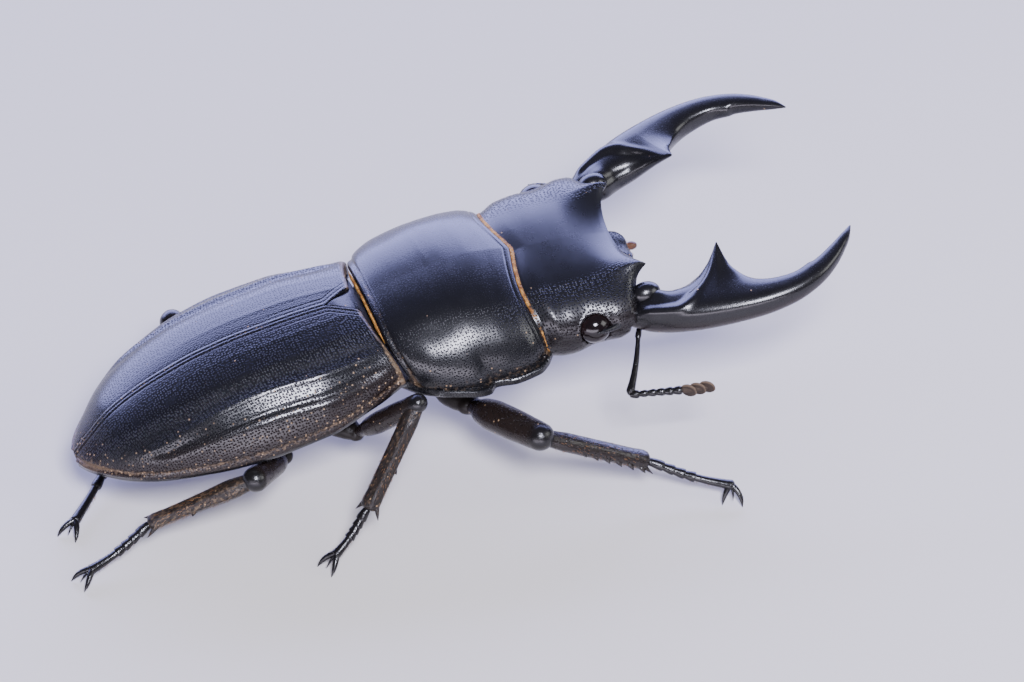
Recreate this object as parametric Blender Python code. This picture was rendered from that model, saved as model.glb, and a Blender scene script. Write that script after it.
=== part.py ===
"""Male stag beetle, life size: a still model standing on six feet, head raised.

Lengths below are millimetres and are scaled to metres when a mesh is made. The torso frame has
its origin at the middle of the pronotum's rear edge, at the height of the body's side rims, with
+X towards the head, +Y towards the beetle's left and +Z up. The stance frame is the same one
before the torso is pitched, and the legs are laid out in it, down to the floor.
"""

import bpy
import numpy as np

MM = 0.001
GAP = 0.3
PITCH_DEG = 6.0
BODY_HEIGHT = 10.6
SMOOTH_UP_TO_DEG = 40

# Wing cases: stations along the back and what the shell measures there.
ELYTRA_X = (-2.3, -4.0, -8.0, -12.0, -16.0, -19.0, -22.0, -24.5, -26.5, -27.7, -28.2)
ELYTRA_HALF_WIDTH = (7.55, 8.1, 9.15, 9.2, 8.75, 7.95, 6.8, 5.3, 3.4, 1.9, 0.8)
ELYTRA_SUTURE_Z = (4.15, 4.35, 4.55, 4.5, 4.1, 3.4, 2.4, 1.1, -0.6, -1.7, -2.2)
ELYTRA_RIM_Z = (0.1, -0.45, -0.8, -1.0, -1.2, -1.4, -1.7, -2.0, -2.3, -2.5, -2.6)
ELYTRA_RIM_DROP = 0.7
SHELL = 0.75
SHOULDER_LEAD = 1.5
SHOULDER_Y = 7.5
SHOULDER_LENGTH = 5.0
SCUTELLUM_TIP_X = -4.6
SCUTELLUM_HALF_WIDTH = 1.5
SCUTELLUM_THICK = 1.1

# Pronotum: fractions of its length from the rear edge and what it measures there.
PRONOTUM_AT = (0.0, 0.1, 0.25, 0.43, 0.47, 0.53, 0.7, 0.86, 0.95, 1.0)
PRONOTUM_HALF_WIDTH = (7.5, 9.0, 9.9, 10.6, 10.55, 10.0, 10.35, 10.2, 9.6, 8.9)
PRONOTUM_CROWN_Z = (3.9, 4.25, 4.6, 4.8, 4.85, 4.85, 4.65, 4.15, 3.75, 3.5)
PRONOTUM_RIM_Z = (-0.4, -0.6, -0.8, -1.0, -1.05, -1.1, -1.2, -1.2, -1.1, -1.0)
PRONOTUM_RIM_WIDTH = 0.55
PRONOTUM_RIM_THICK = 0.5
PRONOTUM_KEEL_Z = -4.5
PRONOTUM_KEEL_RISE = 0.9
PRONOTUM_REAR_X = -1.0
PRONOTUM_REAR_CORNER = 1.25
PRONOTUM_FRONT_X = 12.0
PRONOTUM_FRONT_WAVE = 0.75
PRONOTUM_FRONT_CORNER = 0.15

# Turn of the head on the neck: mandibles towards the right, right side lower, mandibles lifted.
HEAD_TURN_DEG = -2.8
HEAD_ROLL_DEG = 2.0
HEAD_LIFT_DEG = 1.3
NECK_X = 12.0
NECK_GIVE = 2.2

# Head, before it is turned: stations and what it measures there.
HEAD_X = (12.3, 13.4, 14.8, 16.2, 17.4, 18.5, 19.3, 19.9, 20.35)
HEAD_HALF_WIDTH = (8.1, 8.7, 8.75, 8.6, 8.8, 9.1, 8.9, 7.6, 5.6)
HEAD_CROWN_Z = (2.9, 3.15, 3.1, 2.9, 2.65, 2.35, 2.05, 1.75, 1.3)
HEAD_CHEEK_Z = (-1.0, -1.0, -1.0, -0.9, -0.8, -0.7, -0.7, -0.7, -0.7)
HEAD_THROAT_Z = (-4.3, -4.3, -4.2, -4.0, -3.9, -3.7, -3.4, -2.9, -2.2)
EYE_CENTRE = (16.4, 8.15, -0.32)
EYE_RADII = (1.45, 1.25, 1.35)
HORN_ROOT = (17.8, 4.6, 0.75)
HORN_BEND = (20.7, 4.3, 1.3)
HORN_TIP = (22.3, 5.1, 2.0)
HORN_HALF_WIDTH = (3.0, 2.85, 2.5, 1.85, 1.15, 0.55, 0.12)
HORN_HALF_HEIGHT = (1.0, 1.0, 0.95, 0.78, 0.55, 0.32, 0.1)

# Ridge across the eye, counted from the eye's centre, and its half sizes.
CANTHUS = ((2.1, 0.35, 0.0), (1.5, 1.3, -0.05), (0.95, 1.73, -0.07), (0.4, 1.91, -0.1))
CANTHUS_HALF_WIDTH = (0.55, 0.35, 0.26, 0.2)
CANTHUS_HALF_HEIGHT = (0.4, 0.32, 0.27, 0.2)

# Lip plate and mouth feelers of the left side.
LABRUM = ((20.75, 0, -0.9), (21.3, 0, -0.95), (21.9, 0, -1.05), (22.3, 0, -1.15))
LABRUM_HALF_WIDTH = (2.3, 2.4, 2.0, 1.1)
LABRUM_HALF_HEIGHT = (0.42, 0.42, 0.35, 0.25)
PALP_ROOT = (20.2, 2.7, -3.4)
PALP_REACH = (3.4, 0.7, -1.5)
PALP_RADIUS = 0.3
PALP_SWELL = 0.07

# Mandible of the left side: centre line and half sizes from joint to tip, and its two teeth.
MANDIBLE_X = (20.4, 22.5, 25.0, 28.0, 31.0, 33.8, 36.2, 38.0, 39.1, 39.7)
MANDIBLE_Y = (7.75, 8.6, 9.4, 10.5, 11.3, 11.35, 10.55, 9.35, 8.4, 7.73)
MANDIBLE_Z = (-0.95, -0.8, -0.55, -0.3, -0.1, 0.15, 0.45, 0.75, 0.95, 1.06)
MANDIBLE_HALF_WIDTH = (1.45, 1.75, 2.15, 1.9, 1.42, 1.1, 0.85, 0.6, 0.34, 0.1)
MANDIBLE_HALF_HEIGHT = (1.5, 1.7, 1.6, 1.4, 1.2, 0.98, 0.78, 0.55, 0.32, 0.1)
TOOTH = ((27.4, 10.3, -0.2), (27.7, 8.8, 0.55), (28.0, 7.1, 1.5), (28.25, 5.75, 2.4))
TOOTH_HALF_WIDTH = (3.1, 2.0, 0.9, 0.14)
TOOTH_HALF_HEIGHT = (1.1, 0.9, 0.55, 0.14)
SMALL_TOOTH = ((35.6, 10.5, 0.4), (35.95, 9.85, 0.65), (36.3, 9.3, 0.8))
SMALL_TOOTH_HALF_WIDTH = (0.9, 0.5, 0.1)
SMALL_TOOTH_HALF_HEIGHT = (0.5, 0.35, 0.1)

# Thorax and abdomen undersides: stations, keel depth, and how much of their width the belly keeps.
THORAX_FRONT_X = -1.4
THORAX_X = (-0.9, -2.5, -6.0, -10.0, -13.2)
THORAX_KEEL_Z = (-3.2, -4.0, -4.7, -4.8, -4.6)
ABDOMEN_X = (-13.5, -16.0, -19.0, -22.0, -24.5, -26.3, -27.2)
ABDOMEN_KEEL_Z = (-4.5, -4.45, -4.3, -4.1, -3.8, -3.5, -3.3)
ABDOMEN_WIDTH_SHARE = (1, 1, 1, 1, 0.97, 0.9, 0.8)
BELLY_PLATES = 5
GROOVE_DEPTH = 0.22
TRUNK_WIDTH_SHARE = 0.86
TRUNK_ROOM = 0.35

# Legs: joints in the stance frame, height counted from the body's origin.
LEG_JOINTS = {
    "fore_right": dict(coxa=(4.4, -4.2, -5.05), hip=(4.9, -6.9, -5.1), knee=(8.5, -14.8, -3.0),
                       ankle=(17.1, -16.6, -7.4), toe=(23.7, -20.6, -9.2), claw=(23.1, -21.6, -10.6)),
    "fore_left": dict(coxa=(4.4, 4.2, -5.15), hip=(4.9, 6.8, -5.4), knee=(9.2, 13.2, -5.0),
                      ankle=(15.8, 12.4, -8.4), toe=(22.0, 13.4, -9.6), claw=(23.1, 13.7, -10.6)),
    "mid_right": dict(coxa=(-6.3, -3.4, -5.9), hip=(-4.8, -5.7, -6.1), knee=(-0.5, -10.0, -0.15),
                      ankle=(-6.35, -13.7, -6.6), toe=(-10.2, -15.4, -9.5), claw=(-11.3, -15.9, -10.6)),
    "mid_left": dict(coxa=(-6.3, 3.4, -5.75), hip=(-4.8, 5.7, -6.1), knee=(-1.0, 10.3, -3.5),
                     ankle=(-7.4, 12.0, -8.0), toe=(-12.6, 13.6, -9.7), claw=(-13.7, 14.0, -10.6)),
    "hind_right": dict(coxa=(-11.6, -3.4, -6.3), hip=(-11.2, -5.4, -6.7), knee=(-14.75, -9.3, -4.4),
                       ankle=(-23.6, -7.8, -7.6), toe=(-29.7, -9.3, -9.6), claw=(-30.9, -9.8, -10.6)),
    "hind_left": dict(coxa=(-11.6, 3.4, -6.3), hip=(-11.2, 5.4, -6.7), knee=(-15.8, 10.6, -3.6),
                      ankle=(-23.0, 3.3, -8.2), toe=(-29.3, -3.3, -9.8), claw=(-30.3, -4.3, -10.6)),
}
FEMUR_RADIUS = dict(fore=1.3, mid=1.0, hind=1.1)
KNEE_RADIUS = dict(fore=1.04, mid=0.6, hind=0.8)
FOLD_ROOM = dict(fore=0.0, mid=0.35, hind=0.1)
COXA_HALF_WIDTH = 0.5
TIBIA_RADIUS = dict(fore=(0.75, 0.95), mid=(0.65, 0.75), hind=(0.65, 0.75))
TIBIA_CAP = 0.45
TIBIA_TEETH_AT = dict(fore=(0.3, 0.43, 0.56, 0.69, 0.82, 0.93), mid=(0.55,), hind=(0.5,))
TIBIA_TOOTH_REACH = 0.3
TARSUS_RADIUS = 0.45
TARSOMERES = 5
CLAW_SPREAD = 0.85

# Feelers, before the head is turned: the left one is tucked under the head.
ANTENNA_JOINTS = {
    "right": dict(root=(19.85, -8.6, -2.65), elbow=(17.3, -13.2, -4.15), neck=(21.5, -14.1, -4.65),
                  tip=(24.2, -14.6, -4.85)),
    "left": dict(root=(18.6, 7.6, -3.4), elbow=(15.4, 8.4, -8.2), neck=(18.6, 9.6, -9.0),
                 tip=(20.9, 10.4, -9.3)),
}
SCAPE_RADIUS = (0.25, 0.27, 0.27, 0.29, 0.33, 0.38, 0.28)
FUNICLE_BEADS = 6
FUNICLE_START = 0.65
CLUB_LEAVES = 3
CLUB_RADIUS = (0.3, 0.34, 0.34, 0.25)

COLOURS = {
    "elytron": ((0.016, 0.015, 0.018), 0.34),
    "cuticle": ((0.014, 0.014, 0.017), 0.32),
    "mandible": ((0.020, 0.013, 0.014), 0.26),
    "belly": ((0.022, 0.017, 0.015), 0.40),
    "eye": ((0.018, 0.007, 0.005), 0.10),
    "leg": ((0.024, 0.018, 0.015), 0.38),
    "club": ((0.240, 0.170, 0.110), 0.75),
    "palp": ((0.110, 0.045, 0.018), 0.40),
}


def clear_scene():
    """Removes whatever the scene holds."""
    for obj in list(bpy.data.objects):
        bpy.data.objects.remove(obj, do_unlink=True)


def material_for(kind):
    """The plain material of a kind of skin, made the first time it is asked for."""
    made = bpy.data.materials.get(kind)
    if made:
        return made
    colour, roughness = COLOURS[kind]
    made = bpy.data.materials.new(kind)
    made.use_nodes = True
    shader = made.node_tree.nodes["Principled BSDF"]
    shader.inputs["Base Color"].default_value = (*colour, 1.0)
    shader.inputs["Roughness"].default_value = roughness
    shader.inputs["Metallic"].default_value = 0.0
    return made


def through(stations, values, at):
    """Reads a smooth, non-overshooting curve through the stations at each place in at."""
    x = np.asarray(stations, float)
    y = np.asarray(values, float)
    if x[0] > x[-1]:
        x, y = x[::-1], y[::-1]
    run = np.diff(x)
    slope = np.diff(y) / run
    product = slope[:-1] * slope[1:]
    total = np.where(product > 0, slope[:-1] + slope[1:], 1)
    inner = np.where(product > 0, 2 * product / total, 0)
    tangent = np.concatenate([[slope[0]], inner, [slope[-1]]])
    at = np.clip(np.asarray(at, float), x[0], x[-1])
    k = np.clip(np.searchsorted(x, at) - 1, 0, len(run) - 1)
    u = (at - x[k]) / run[k]
    return (
        y[k] * (1 + 2 * u) * (1 - u) ** 2
        + tangent[k] * run[k] * u * (1 - u) ** 2
        + y[k + 1] * u**2 * (3 - 2 * u)
        + tangent[k + 1] * run[k] * u**2 * (u - 1)
    )


def blunt_steps(count):
    """Fractions from 0 to 1, closer together towards 1."""
    return np.sin(np.linspace(0, np.pi / 2, count))


def shade(mesh):
    """Smooth shading with crisp edges where faces meet at a steep angle."""
    mesh.shade_smooth()
    mesh.set_sharp_from_angle(angle=np.radians(SMOOTH_UP_TO_DEG))


def points_of(mesh):
    """The mesh's vertices as rows of an array, in metres."""
    points = np.empty(3 * len(mesh.vertices))
    mesh.vertices.foreach_get("co", points)
    return points.reshape(-1, 3)


def move_points(mesh, points):
    """Gives the mesh's vertices new places."""
    mesh.vertices.foreach_set("co", np.ravel(points))
    mesh.update()


def mesh_object(name, points, faces, kind, parent=None):
    """A named object from points in millimetres and faces, with the material of its kind."""
    mesh = bpy.data.meshes.new(name)
    mesh.from_pydata([tuple(p) for p in np.asarray(points) * MM], [], faces)
    mesh.validate()
    shade(mesh)
    obj = bpy.data.objects.new(name, mesh)
    bpy.context.scene.collection.objects.link(obj)
    mesh.materials.append(material_for(kind))
    obj.parent = parent
    return obj


def side_faces(rows, around):
    """Quads that join each closed ring of points to the next one."""
    faces = []
    for i in range(rows - 1):
        for j in range(around):
            k = (j + 1) % around
            faces.append((i * around + j, i * around + k, (i + 1) * around + k, (i + 1) * around + j))
    return faces


def paired_caps(rows, around):
    """End faces for rings whose first half runs out over the top and whose second half runs back."""
    faces = []
    half = around // 2
    last = (rows - 1) * around
    for j in range(half - 1):
        a, b = j, j + 1
        c, d = around - 2 - j, around - 1 - j
        faces.append((a, d, c, b))
        faces.append((last + a, last + b, last + c, last + d))
    return faces


def turned_out(points, faces):
    """The faces, all turned round if together they enclose a negative volume."""
    points = np.asarray(points)
    volume = 0.0
    for face in faces:
        for k in range(1, len(face) - 1):
            a, b, c = points[face[0]], points[face[k]], points[face[k + 1]]
            volume += np.dot(a, np.cross(b, c))
    return [face[::-1] for face in faces] if volume < 0 else faces


def solid_from_sections(name, rings, kind, parent=None):
    """A closed body through sections that each run out over the top and back underneath."""
    rows, around = rings.shape[:2]
    points = rings.reshape(-1, 3)
    faces = turned_out(points, side_faces(rows, around) + paired_caps(rows, around))
    return mesh_object(name, points, faces, kind, parent)


def solid_with_poles(name, rings, first_pole, last_pole, kind, parent=None):
    """A closed body through rings of points, each end drawn to a point."""
    rows, around = rings.shape[:2]
    points = np.concatenate([rings.reshape(-1, 3), [first_pole], [last_pole]])
    faces = side_faces(rows, around)
    first, last = rows * around, rows * around + 1
    for j in range(around):
        k = (j + 1) % around
        faces.append((first, k, j))
        faces.append((last, (rows - 1) * around + j, (rows - 1) * around + k))
    return mesh_object(name, points, turned_out(points, faces), kind, parent)


def limb(name, path, half_width, half_height, kind, parent=None, up=(0, 0, 1), sides=10, power=2.0):
    """A closed body of oval sections set square to a path, with its ends drawn to a point inside."""
    path = np.asarray(path, float)
    width = np.broadcast_to(np.asarray(half_width, float), len(path))
    height = np.broadcast_to(np.asarray(half_height, float), len(path))
    along = np.gradient(path, axis=0)
    along /= np.linalg.norm(along, axis=1)[:, None]
    side = np.cross(along, np.asarray(up, float))
    side /= np.linalg.norm(side, axis=1)[:, None]
    rise = np.cross(side, along)
    angle = np.linspace(0, 2 * np.pi, sides, endpoint=False) + np.pi / sides
    c = np.sign(np.cos(angle)) * np.abs(np.cos(angle)) ** (2 / power)
    s = np.sign(np.sin(angle)) * np.abs(np.sin(angle)) ** (2 / power)
    rings = (
        path[:, None, :]
        + side[:, None, :] * (width[:, None] * c)[:, :, None]
        + rise[:, None, :] * (height[:, None] * s)[:, :, None]
    )
    return solid_with_poles(name, rings, path[0], path[-1], kind, parent)


def spindle(name, start, end, at, width, height, kind, parent=None, **more):
    """A straight limb whose half sizes are read at fractions of its length."""
    start, end = np.asarray(start, float), np.asarray(end, float)
    path = start + np.outer(at, end - start)
    return limb(name, path, width, height, kind, parent, **more)


def dome(name, centre, radii, kind, parent=None, rows=9, sides=14):
    """An egg with its poles on its own Z axis."""
    polar = np.linspace(0, np.pi, rows + 2)[1:-1]
    angle = np.linspace(0, 2 * np.pi, sides, endpoint=False)
    ball = np.stack(
        [
            np.outer(np.sin(polar), np.cos(angle)),
            np.outer(np.sin(polar), np.sin(angle)),
            np.outer(np.cos(polar), np.ones(sides)),
        ],
        axis=-1,
    )
    radii, centre = np.asarray(radii, float), np.asarray(centre, float)
    rise = radii * (0, 0, 1)
    return solid_with_poles(name, centre + ball * radii, centre + rise, centre - rise, kind, parent)


def keep_largest(obj):
    """Drops any loose scrap or sealed hollow that a Boolean left behind."""
    mesh = obj.data
    count = len(mesh.vertices)
    group = np.arange(count)
    edges = np.array([edge.vertices[:] for edge in mesh.edges])
    while True:
        lowest = group.copy()
        np.minimum.at(lowest, edges[:, 0], group[edges[:, 1]])
        np.minimum.at(lowest, edges[:, 1], group[edges[:, 0]])
        lowest = lowest[lowest]
        if (lowest == group).all():
            break
        group = lowest
    labels, sizes = np.unique(group, return_counts=True)
    if len(labels) == 1:
        return
    points = points_of(mesh)
    span = [np.ptp(points[group == label], axis=0).sum() for label in labels]
    kept = group == labels[int(np.argmax(span))]
    place = np.cumsum(kept) - 1
    faces = [tuple(place[list(f.vertices)]) for f in mesh.polygons if kept[f.vertices[0]]]
    fresh = bpy.data.meshes.new(mesh.name)
    fresh.from_pydata([tuple(p) for p in points[kept]], [], [tuple(int(v) for v in f) for f in faces])
    for slot in mesh.materials:
        fresh.materials.append(slot)
    shade(fresh)
    obj.data = fresh


def combined(obj, others, operation="UNION"):
    """One Boolean of the object with all the others, applied, after which the others are removed."""
    if not others:
        return obj
    group = bpy.data.collections.new(obj.name + "_pieces")
    bpy.context.scene.collection.children.link(group)
    for other in others:
        for holder in list(other.users_collection):
            holder.objects.unlink(other)
        group.objects.link(other)
    modifier = obj.modifiers.new("join", "BOOLEAN")
    modifier.operation = operation
    modifier.operand_type = "COLLECTION"
    modifier.collection = group
    modifier.solver = "EXACT"
    bpy.context.view_layer.update()
    graph = bpy.context.evaluated_depsgraph_get()
    joined = bpy.data.meshes.new_from_object(obj.evaluated_get(graph))
    obj.modifiers.clear()
    obj.data = joined
    for other in others:
        bpy.data.objects.remove(other, do_unlink=True)
    bpy.data.collections.remove(group)
    keep_largest(obj)
    return obj


def arch(share, flatness=2.4, roundness=1.9):
    """Height of a dome, 1 in the middle and 0 at its edge, at shares of its half width."""
    return (1 - np.clip(np.abs(share), 0, 1) ** flatness) ** (1 / roundness)


def elytra_top(x, y):
    """Height of the wing cases' outer face over a point of the back."""
    half = through(ELYTRA_X, ELYTRA_HALF_WIDTH, x)
    crown = through(ELYTRA_X, ELYTRA_SUTURE_Z, x)
    rim = through(ELYTRA_X, ELYTRA_RIM_Z, x)
    return rim + (crown - rim) * arch(y / half)


def shoulder_lead(x, y):
    """How far a base edge point is carried forward towards the shoulder."""
    fade = np.clip(1 - (ELYTRA_X[0] - x) / SHOULDER_LENGTH, 0, 1) ** 2
    return SHOULDER_LEAD * np.clip(np.abs(y) / SHOULDER_Y, 0, 1) ** 2 * fade


def scutellum_half(x):
    """Half width of the small triangle that parts the wing cases at their base."""
    run = np.clip((x - SCUTELLUM_TIP_X) / (ELYTRA_X[0] - SCUTELLUM_TIP_X), 0, None)
    return SCUTELLUM_HALF_WIDTH * run


def shell_depth(x, y, thickness):
    """How far below the outer face its inner one lies, more where the shell slopes."""
    step = 0.05
    lean = np.abs(elytra_top(x, np.abs(y) + step) - elytra_top(x, np.abs(y))) / step
    return thickness * np.minimum(np.sqrt(1 + lean**2), 1.8)


def elytron(name, sign, parent):
    """One wing case: a curved shell between the middle seam and a turned-down outer rim."""
    stations = ELYTRA_X[0] + (ELYTRA_X[-1] - ELYTRA_X[0]) * blunt_steps(18)
    share = blunt_steps(8)
    rings = []
    for x in stations:
        half = float(through(ELYTRA_X, ELYTRA_HALF_WIDTH, x))
        rim = float(through(ELYTRA_X, ELYTRA_RIM_Z, x))
        seam = GAP / 2 + float(scutellum_half(x)) + (GAP if x > SCUTELLUM_TIP_X else 0)
        y_out = seam + (half - seam) * share
        z_out = elytra_top(x, y_out)
        wall = min(SHELL, 0.45 * half)
        y_in = seam + (half - wall - seam) * share
        z_in = elytra_top(x, y_in) - shell_depth(x, y_in, SHELL)
        foot = min(rim - ELYTRA_RIM_DROP, z_in[-1] - 0.2)
        over = np.stack([np.full_like(y_out, x), y_out, z_out], axis=-1)
        under = np.stack([np.full_like(y_in, x), y_in, z_in], axis=-1)[::-1]
        edge = np.array([[x, half - 0.05, foot + 0.15], [x, half - wall, foot]])
        ring = np.concatenate([over, edge, under])
        ring[:, 0] += shoulder_lead(ring[:, 0], ring[:, 1])
        ring[:, 1] *= sign
        rings.append(ring)
    return solid_from_sections(name, np.array(rings), "elytron", parent)


def scutellum(parent):
    """The small triangle at the base of the seam, set into the notch of the wing cases."""
    stations = np.linspace(ELYTRA_X[0] + 0.1, SCUTELLUM_TIP_X + 0.3, 6)
    share = np.linspace(-1, 1, 5)
    rings = []
    for x in stations:
        y = share * (float(scutellum_half(x)) - 0.02)
        top = elytra_top(x, y) - 0.05
        over = np.stack([np.full_like(y, x), y, top], axis=-1)
        under = np.stack([np.full_like(y, x), y, top - SCUTELLUM_THICK], axis=-1)[::-1]
        rings.append(np.concatenate([over, under]))
    return solid_from_sections("scutellum", np.array(rings), "cuticle", parent)


def hull_sections(stations, top, keel, half, flank=1.5, count=9):
    """Sections of a body part whose top is a given height and whose flanks draw in to a keel."""
    share = np.sin(np.linspace(-np.pi / 2, np.pi / 2, count))
    rings = []
    for x in stations:
        wide = half(x)
        y = share * wide
        over_z = top(x, y)
        low = keel(x)
        rim = min(float(over_z[0]), float(over_z[-1])) - 0.35
        under_z = low + (rim - low) * np.abs(share) ** flank
        under_z = np.minimum(under_z, over_z - 0.3)
        over = np.stack([np.full_like(y, x), y, over_z], axis=-1)
        under = np.stack([np.full_like(y, x), y, under_z], axis=-1)[::-1]
        rings.append(np.concatenate([over, under]))
    return np.array(rings)


def under_shell_top(x, y):
    """Height that the soft back reaches under the wing cases, a gap below their inner face."""
    return elytra_top(x, y) - shell_depth(x, y, SHELL + GAP + 0.2)


def trunk_half(x):
    """Half width of the thorax and abdomen inside the wing cases."""
    return float(through(ELYTRA_X, ELYTRA_HALF_WIDTH, x)) * TRUNK_WIDTH_SHARE - TRUNK_ROOM


def thorax(parent):
    """Middle and hind thorax as one body, its underside drawn in to the keel between the legs."""
    stations = np.linspace(THORAX_FRONT_X, THORAX_X[-1], 9)
    rings = hull_sections(
        stations,
        lambda x, y: under_shell_top(x, y) - 0.25,
        lambda x: float(through(THORAX_X, THORAX_KEEL_Z, x)),
        trunk_half,
        flank=1.3,
        count=11,
    )
    return solid_from_sections("thorax", rings, "belly", parent)


def abdomen(parent):
    """The belly, its plates parted by shallow grooves that run across it."""
    span = ABDOMEN_X[-1] - ABDOMEN_X[0]
    steps = 3 * BELLY_PLATES + 1
    stations = ABDOMEN_X[0] + span * np.linspace(0, 1, steps + 1)
    grooves = stations[3:-3:3]

    def keel(x):
        groove = GROOVE_DEPTH if np.isclose(x, grooves).any() else 0.0
        return float(through(ABDOMEN_X, ABDOMEN_KEEL_Z, x)) + groove

    def half(x):
        return trunk_half(x) * float(through(ABDOMEN_X, ABDOMEN_WIDTH_SHARE, x))

    rings = hull_sections(stations, under_shell_top, keel, half, flank=2.0, count=11)
    return solid_from_sections("abdomen", rings, "belly", parent)


def pronotum_edges(share, at):
    """Position along the body of a pronotum point, between its rear and its front edge."""
    share = np.abs(share)
    rear = PRONOTUM_REAR_X + PRONOTUM_REAR_CORNER * share**8
    wave = PRONOTUM_FRONT_WAVE * np.sin(np.pi * share**1.1)
    front = PRONOTUM_FRONT_X - wave - PRONOTUM_FRONT_CORNER * share
    return rear * (1 - at) + front * at


def pronotum(parent):
    """The neck shield, domed above its flat side rims, with the underside of the fore thorax."""
    places = np.unique(np.concatenate([np.linspace(0, 1, 12), [0.43, 0.475, 0.51, 0.05, 0.96]]))
    share = np.sin(np.linspace(-np.pi / 2, np.pi / 2, 17))
    rings = []
    for at in places:
        half = float(through(PRONOTUM_AT, PRONOTUM_HALF_WIDTH, at))
        crown = float(through(PRONOTUM_AT, PRONOTUM_CROWN_Z, at))
        rim = float(through(PRONOTUM_AT, PRONOTUM_RIM_Z, at))
        y = share * half
        over_z = rim + (crown - rim) * arch(y / (half - PRONOTUM_RIM_WIDTH), 2.6, 1.8)
        low = PRONOTUM_KEEL_Z + PRONOTUM_KEEL_RISE * (2 * at - 1) ** 2
        under_z = low + (rim - PRONOTUM_RIM_THICK - low) * np.abs(share) ** 1.7
        x = pronotum_edges(share, at)
        over = np.stack([x, y, over_z], axis=-1)
        under = np.stack([x, y, under_z], axis=-1)[::-1]
        rings.append(np.concatenate([over, under]))
    return solid_from_sections("pronotum", np.array(rings), "cuticle", parent)


def turned(points):
    """Points of the head after it is turned on the neck.

    The turn grows from nothing at the head's rear rim to all of it a little further on, so the
    rim keeps its even gap from the pronotum.
    """
    turn, lift, roll = np.radians((HEAD_TURN_DEG, HEAD_LIFT_DEG, HEAD_ROLL_DEG))
    about_z = np.array([[np.cos(turn), -np.sin(turn), 0], [np.sin(turn), np.cos(turn), 0], [0, 0, 1]])
    about_y = np.array([[np.cos(lift), 0, -np.sin(lift)], [0, 1, 0], [np.sin(lift), 0, np.cos(lift)]])
    about_x = np.array([[1, 0, 0], [0, np.cos(roll), -np.sin(roll)], [0, np.sin(roll), np.cos(roll)]])
    neck = np.array([NECK_X, 0, 0])
    whole = (points - neck) @ (about_z @ about_y @ about_x).T + neck
    part = np.clip((points[:, :1] - HEAD_X[0]) / NECK_GIVE, 0, 1)
    return points + (whole - points) * part**2 * (3 - 2 * part)


def on_head(obj):
    """Turns a finished piece with the head."""
    move_points(obj.data, turned(points_of(obj.data) / MM) * MM)
    return obj


def head_shell(parent):
    """The head without horns: oval sections from the rear rim to the front edge."""
    angle = np.linspace(0, 2 * np.pi, 28, endpoint=False)
    along = HEAD_X[0] + (HEAD_X[-1] - HEAD_X[0]) * blunt_steps(12)
    c, s = np.cos(angle), np.sin(angle)
    rings = []
    for x in along:
        half = float(through(HEAD_X, HEAD_HALF_WIDTH, x))
        cheek = float(through(HEAD_X, HEAD_CHEEK_Z, x))
        crown = float(through(HEAD_X, HEAD_CROWN_Z, x)) - cheek
        throat = cheek - float(through(HEAD_X, HEAD_THROAT_Z, x))
        y = half * np.sign(c) * np.abs(c) ** 0.72
        z = cheek + np.where(s > 0, crown, throat) * np.sign(s) * np.abs(s) ** 0.8
        fade = np.clip((HEAD_X[-2] - x) / (HEAD_X[-2] - HEAD_X[0]), 0, 1) ** 2
        edge = pronotum_edges(y / PRONOTUM_HALF_WIDTH[-1], 1.0) - PRONOTUM_FRONT_X
        rings.append(np.stack([x + edge * fade, y, z], axis=-1))
    rings = np.array(rings)
    nape = (HEAD_X[0], 0, HEAD_CHEEK_Z[0])
    return solid_with_poles("head", rings, nape, rings[-1].mean(axis=0), "cuticle", parent)


def horn(side, parent):
    """A frontal horn: a broad-based spike that bends up and out to its tip."""
    root, bend, tip = (np.multiply(point, side) for point in (HORN_ROOT, HORN_BEND, HORN_TIP))
    steps = np.linspace(0, 1, len(HORN_HALF_WIDTH))[:, None]
    path = (1 - steps) ** 2 * root + 2 * steps * (1 - steps) * bend + steps**2 * tip
    return limb("horn", path, HORN_HALF_WIDTH, HORN_HALF_HEIGHT, "cuticle", parent)


def head(parent):
    """Broad flat head with two frontal horns, eye sockets and the ridge that crosses each eye."""
    body = head_shell(parent)
    sockets = []
    grown = []
    for sign in (-1, 1):
        side = (1, sign, 1)
        eye = np.multiply(EYE_CENTRE, side)
        sockets.append(dome("socket", eye, np.array(EYE_RADII) + GAP, "cuticle", parent))
        grown.append(horn(side, parent))
        ridge = eye + np.multiply(CANTHUS, side)
        grown.append(limb("canthus", ridge, CANTHUS_HALF_WIDTH, CANTHUS_HALF_HEIGHT, "cuticle", parent))
    combined(body, sockets, "DIFFERENCE")
    on_head(combined(body, grown))


def labrum(parent):
    """The lip plate below the front edge, between the mandibles."""
    on_head(limb("labrum", LABRUM, LABRUM_HALF_WIDTH, LABRUM_HALF_HEIGHT, "cuticle", parent, sides=12,
                 power=3))


def mandible(name, sign, parent):
    """A long curved jaw with one broad inner tooth and a small one near its tip."""
    side = (1, sign, 1)
    along = MANDIBLE_X[0] + (MANDIBLE_X[-1] - MANDIBLE_X[0]) * np.linspace(0, 1, 19) ** 0.9
    y = sign * through(MANDIBLE_X, MANDIBLE_Y, along)
    path = np.stack([along, y, through(MANDIBLE_X, MANDIBLE_Z, along)], axis=-1)
    width = through(MANDIBLE_X, MANDIBLE_HALF_WIDTH, along)
    height = through(MANDIBLE_X, MANDIBLE_HALF_HEIGHT, along)
    body = limb(name, path, width, height, "mandible", parent, sides=12, power=2.4)
    tooth = limb("tooth", np.multiply(TOOTH, side), TOOTH_HALF_WIDTH, TOOTH_HALF_HEIGHT, "mandible", parent)
    tip_tooth = limb("tip_tooth", np.multiply(SMALL_TOOTH, side), SMALL_TOOTH_HALF_WIDTH,
                     SMALL_TOOTH_HALF_HEIGHT, "mandible", parent)
    on_head(combined(body, [tooth, tip_tooth]))


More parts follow.
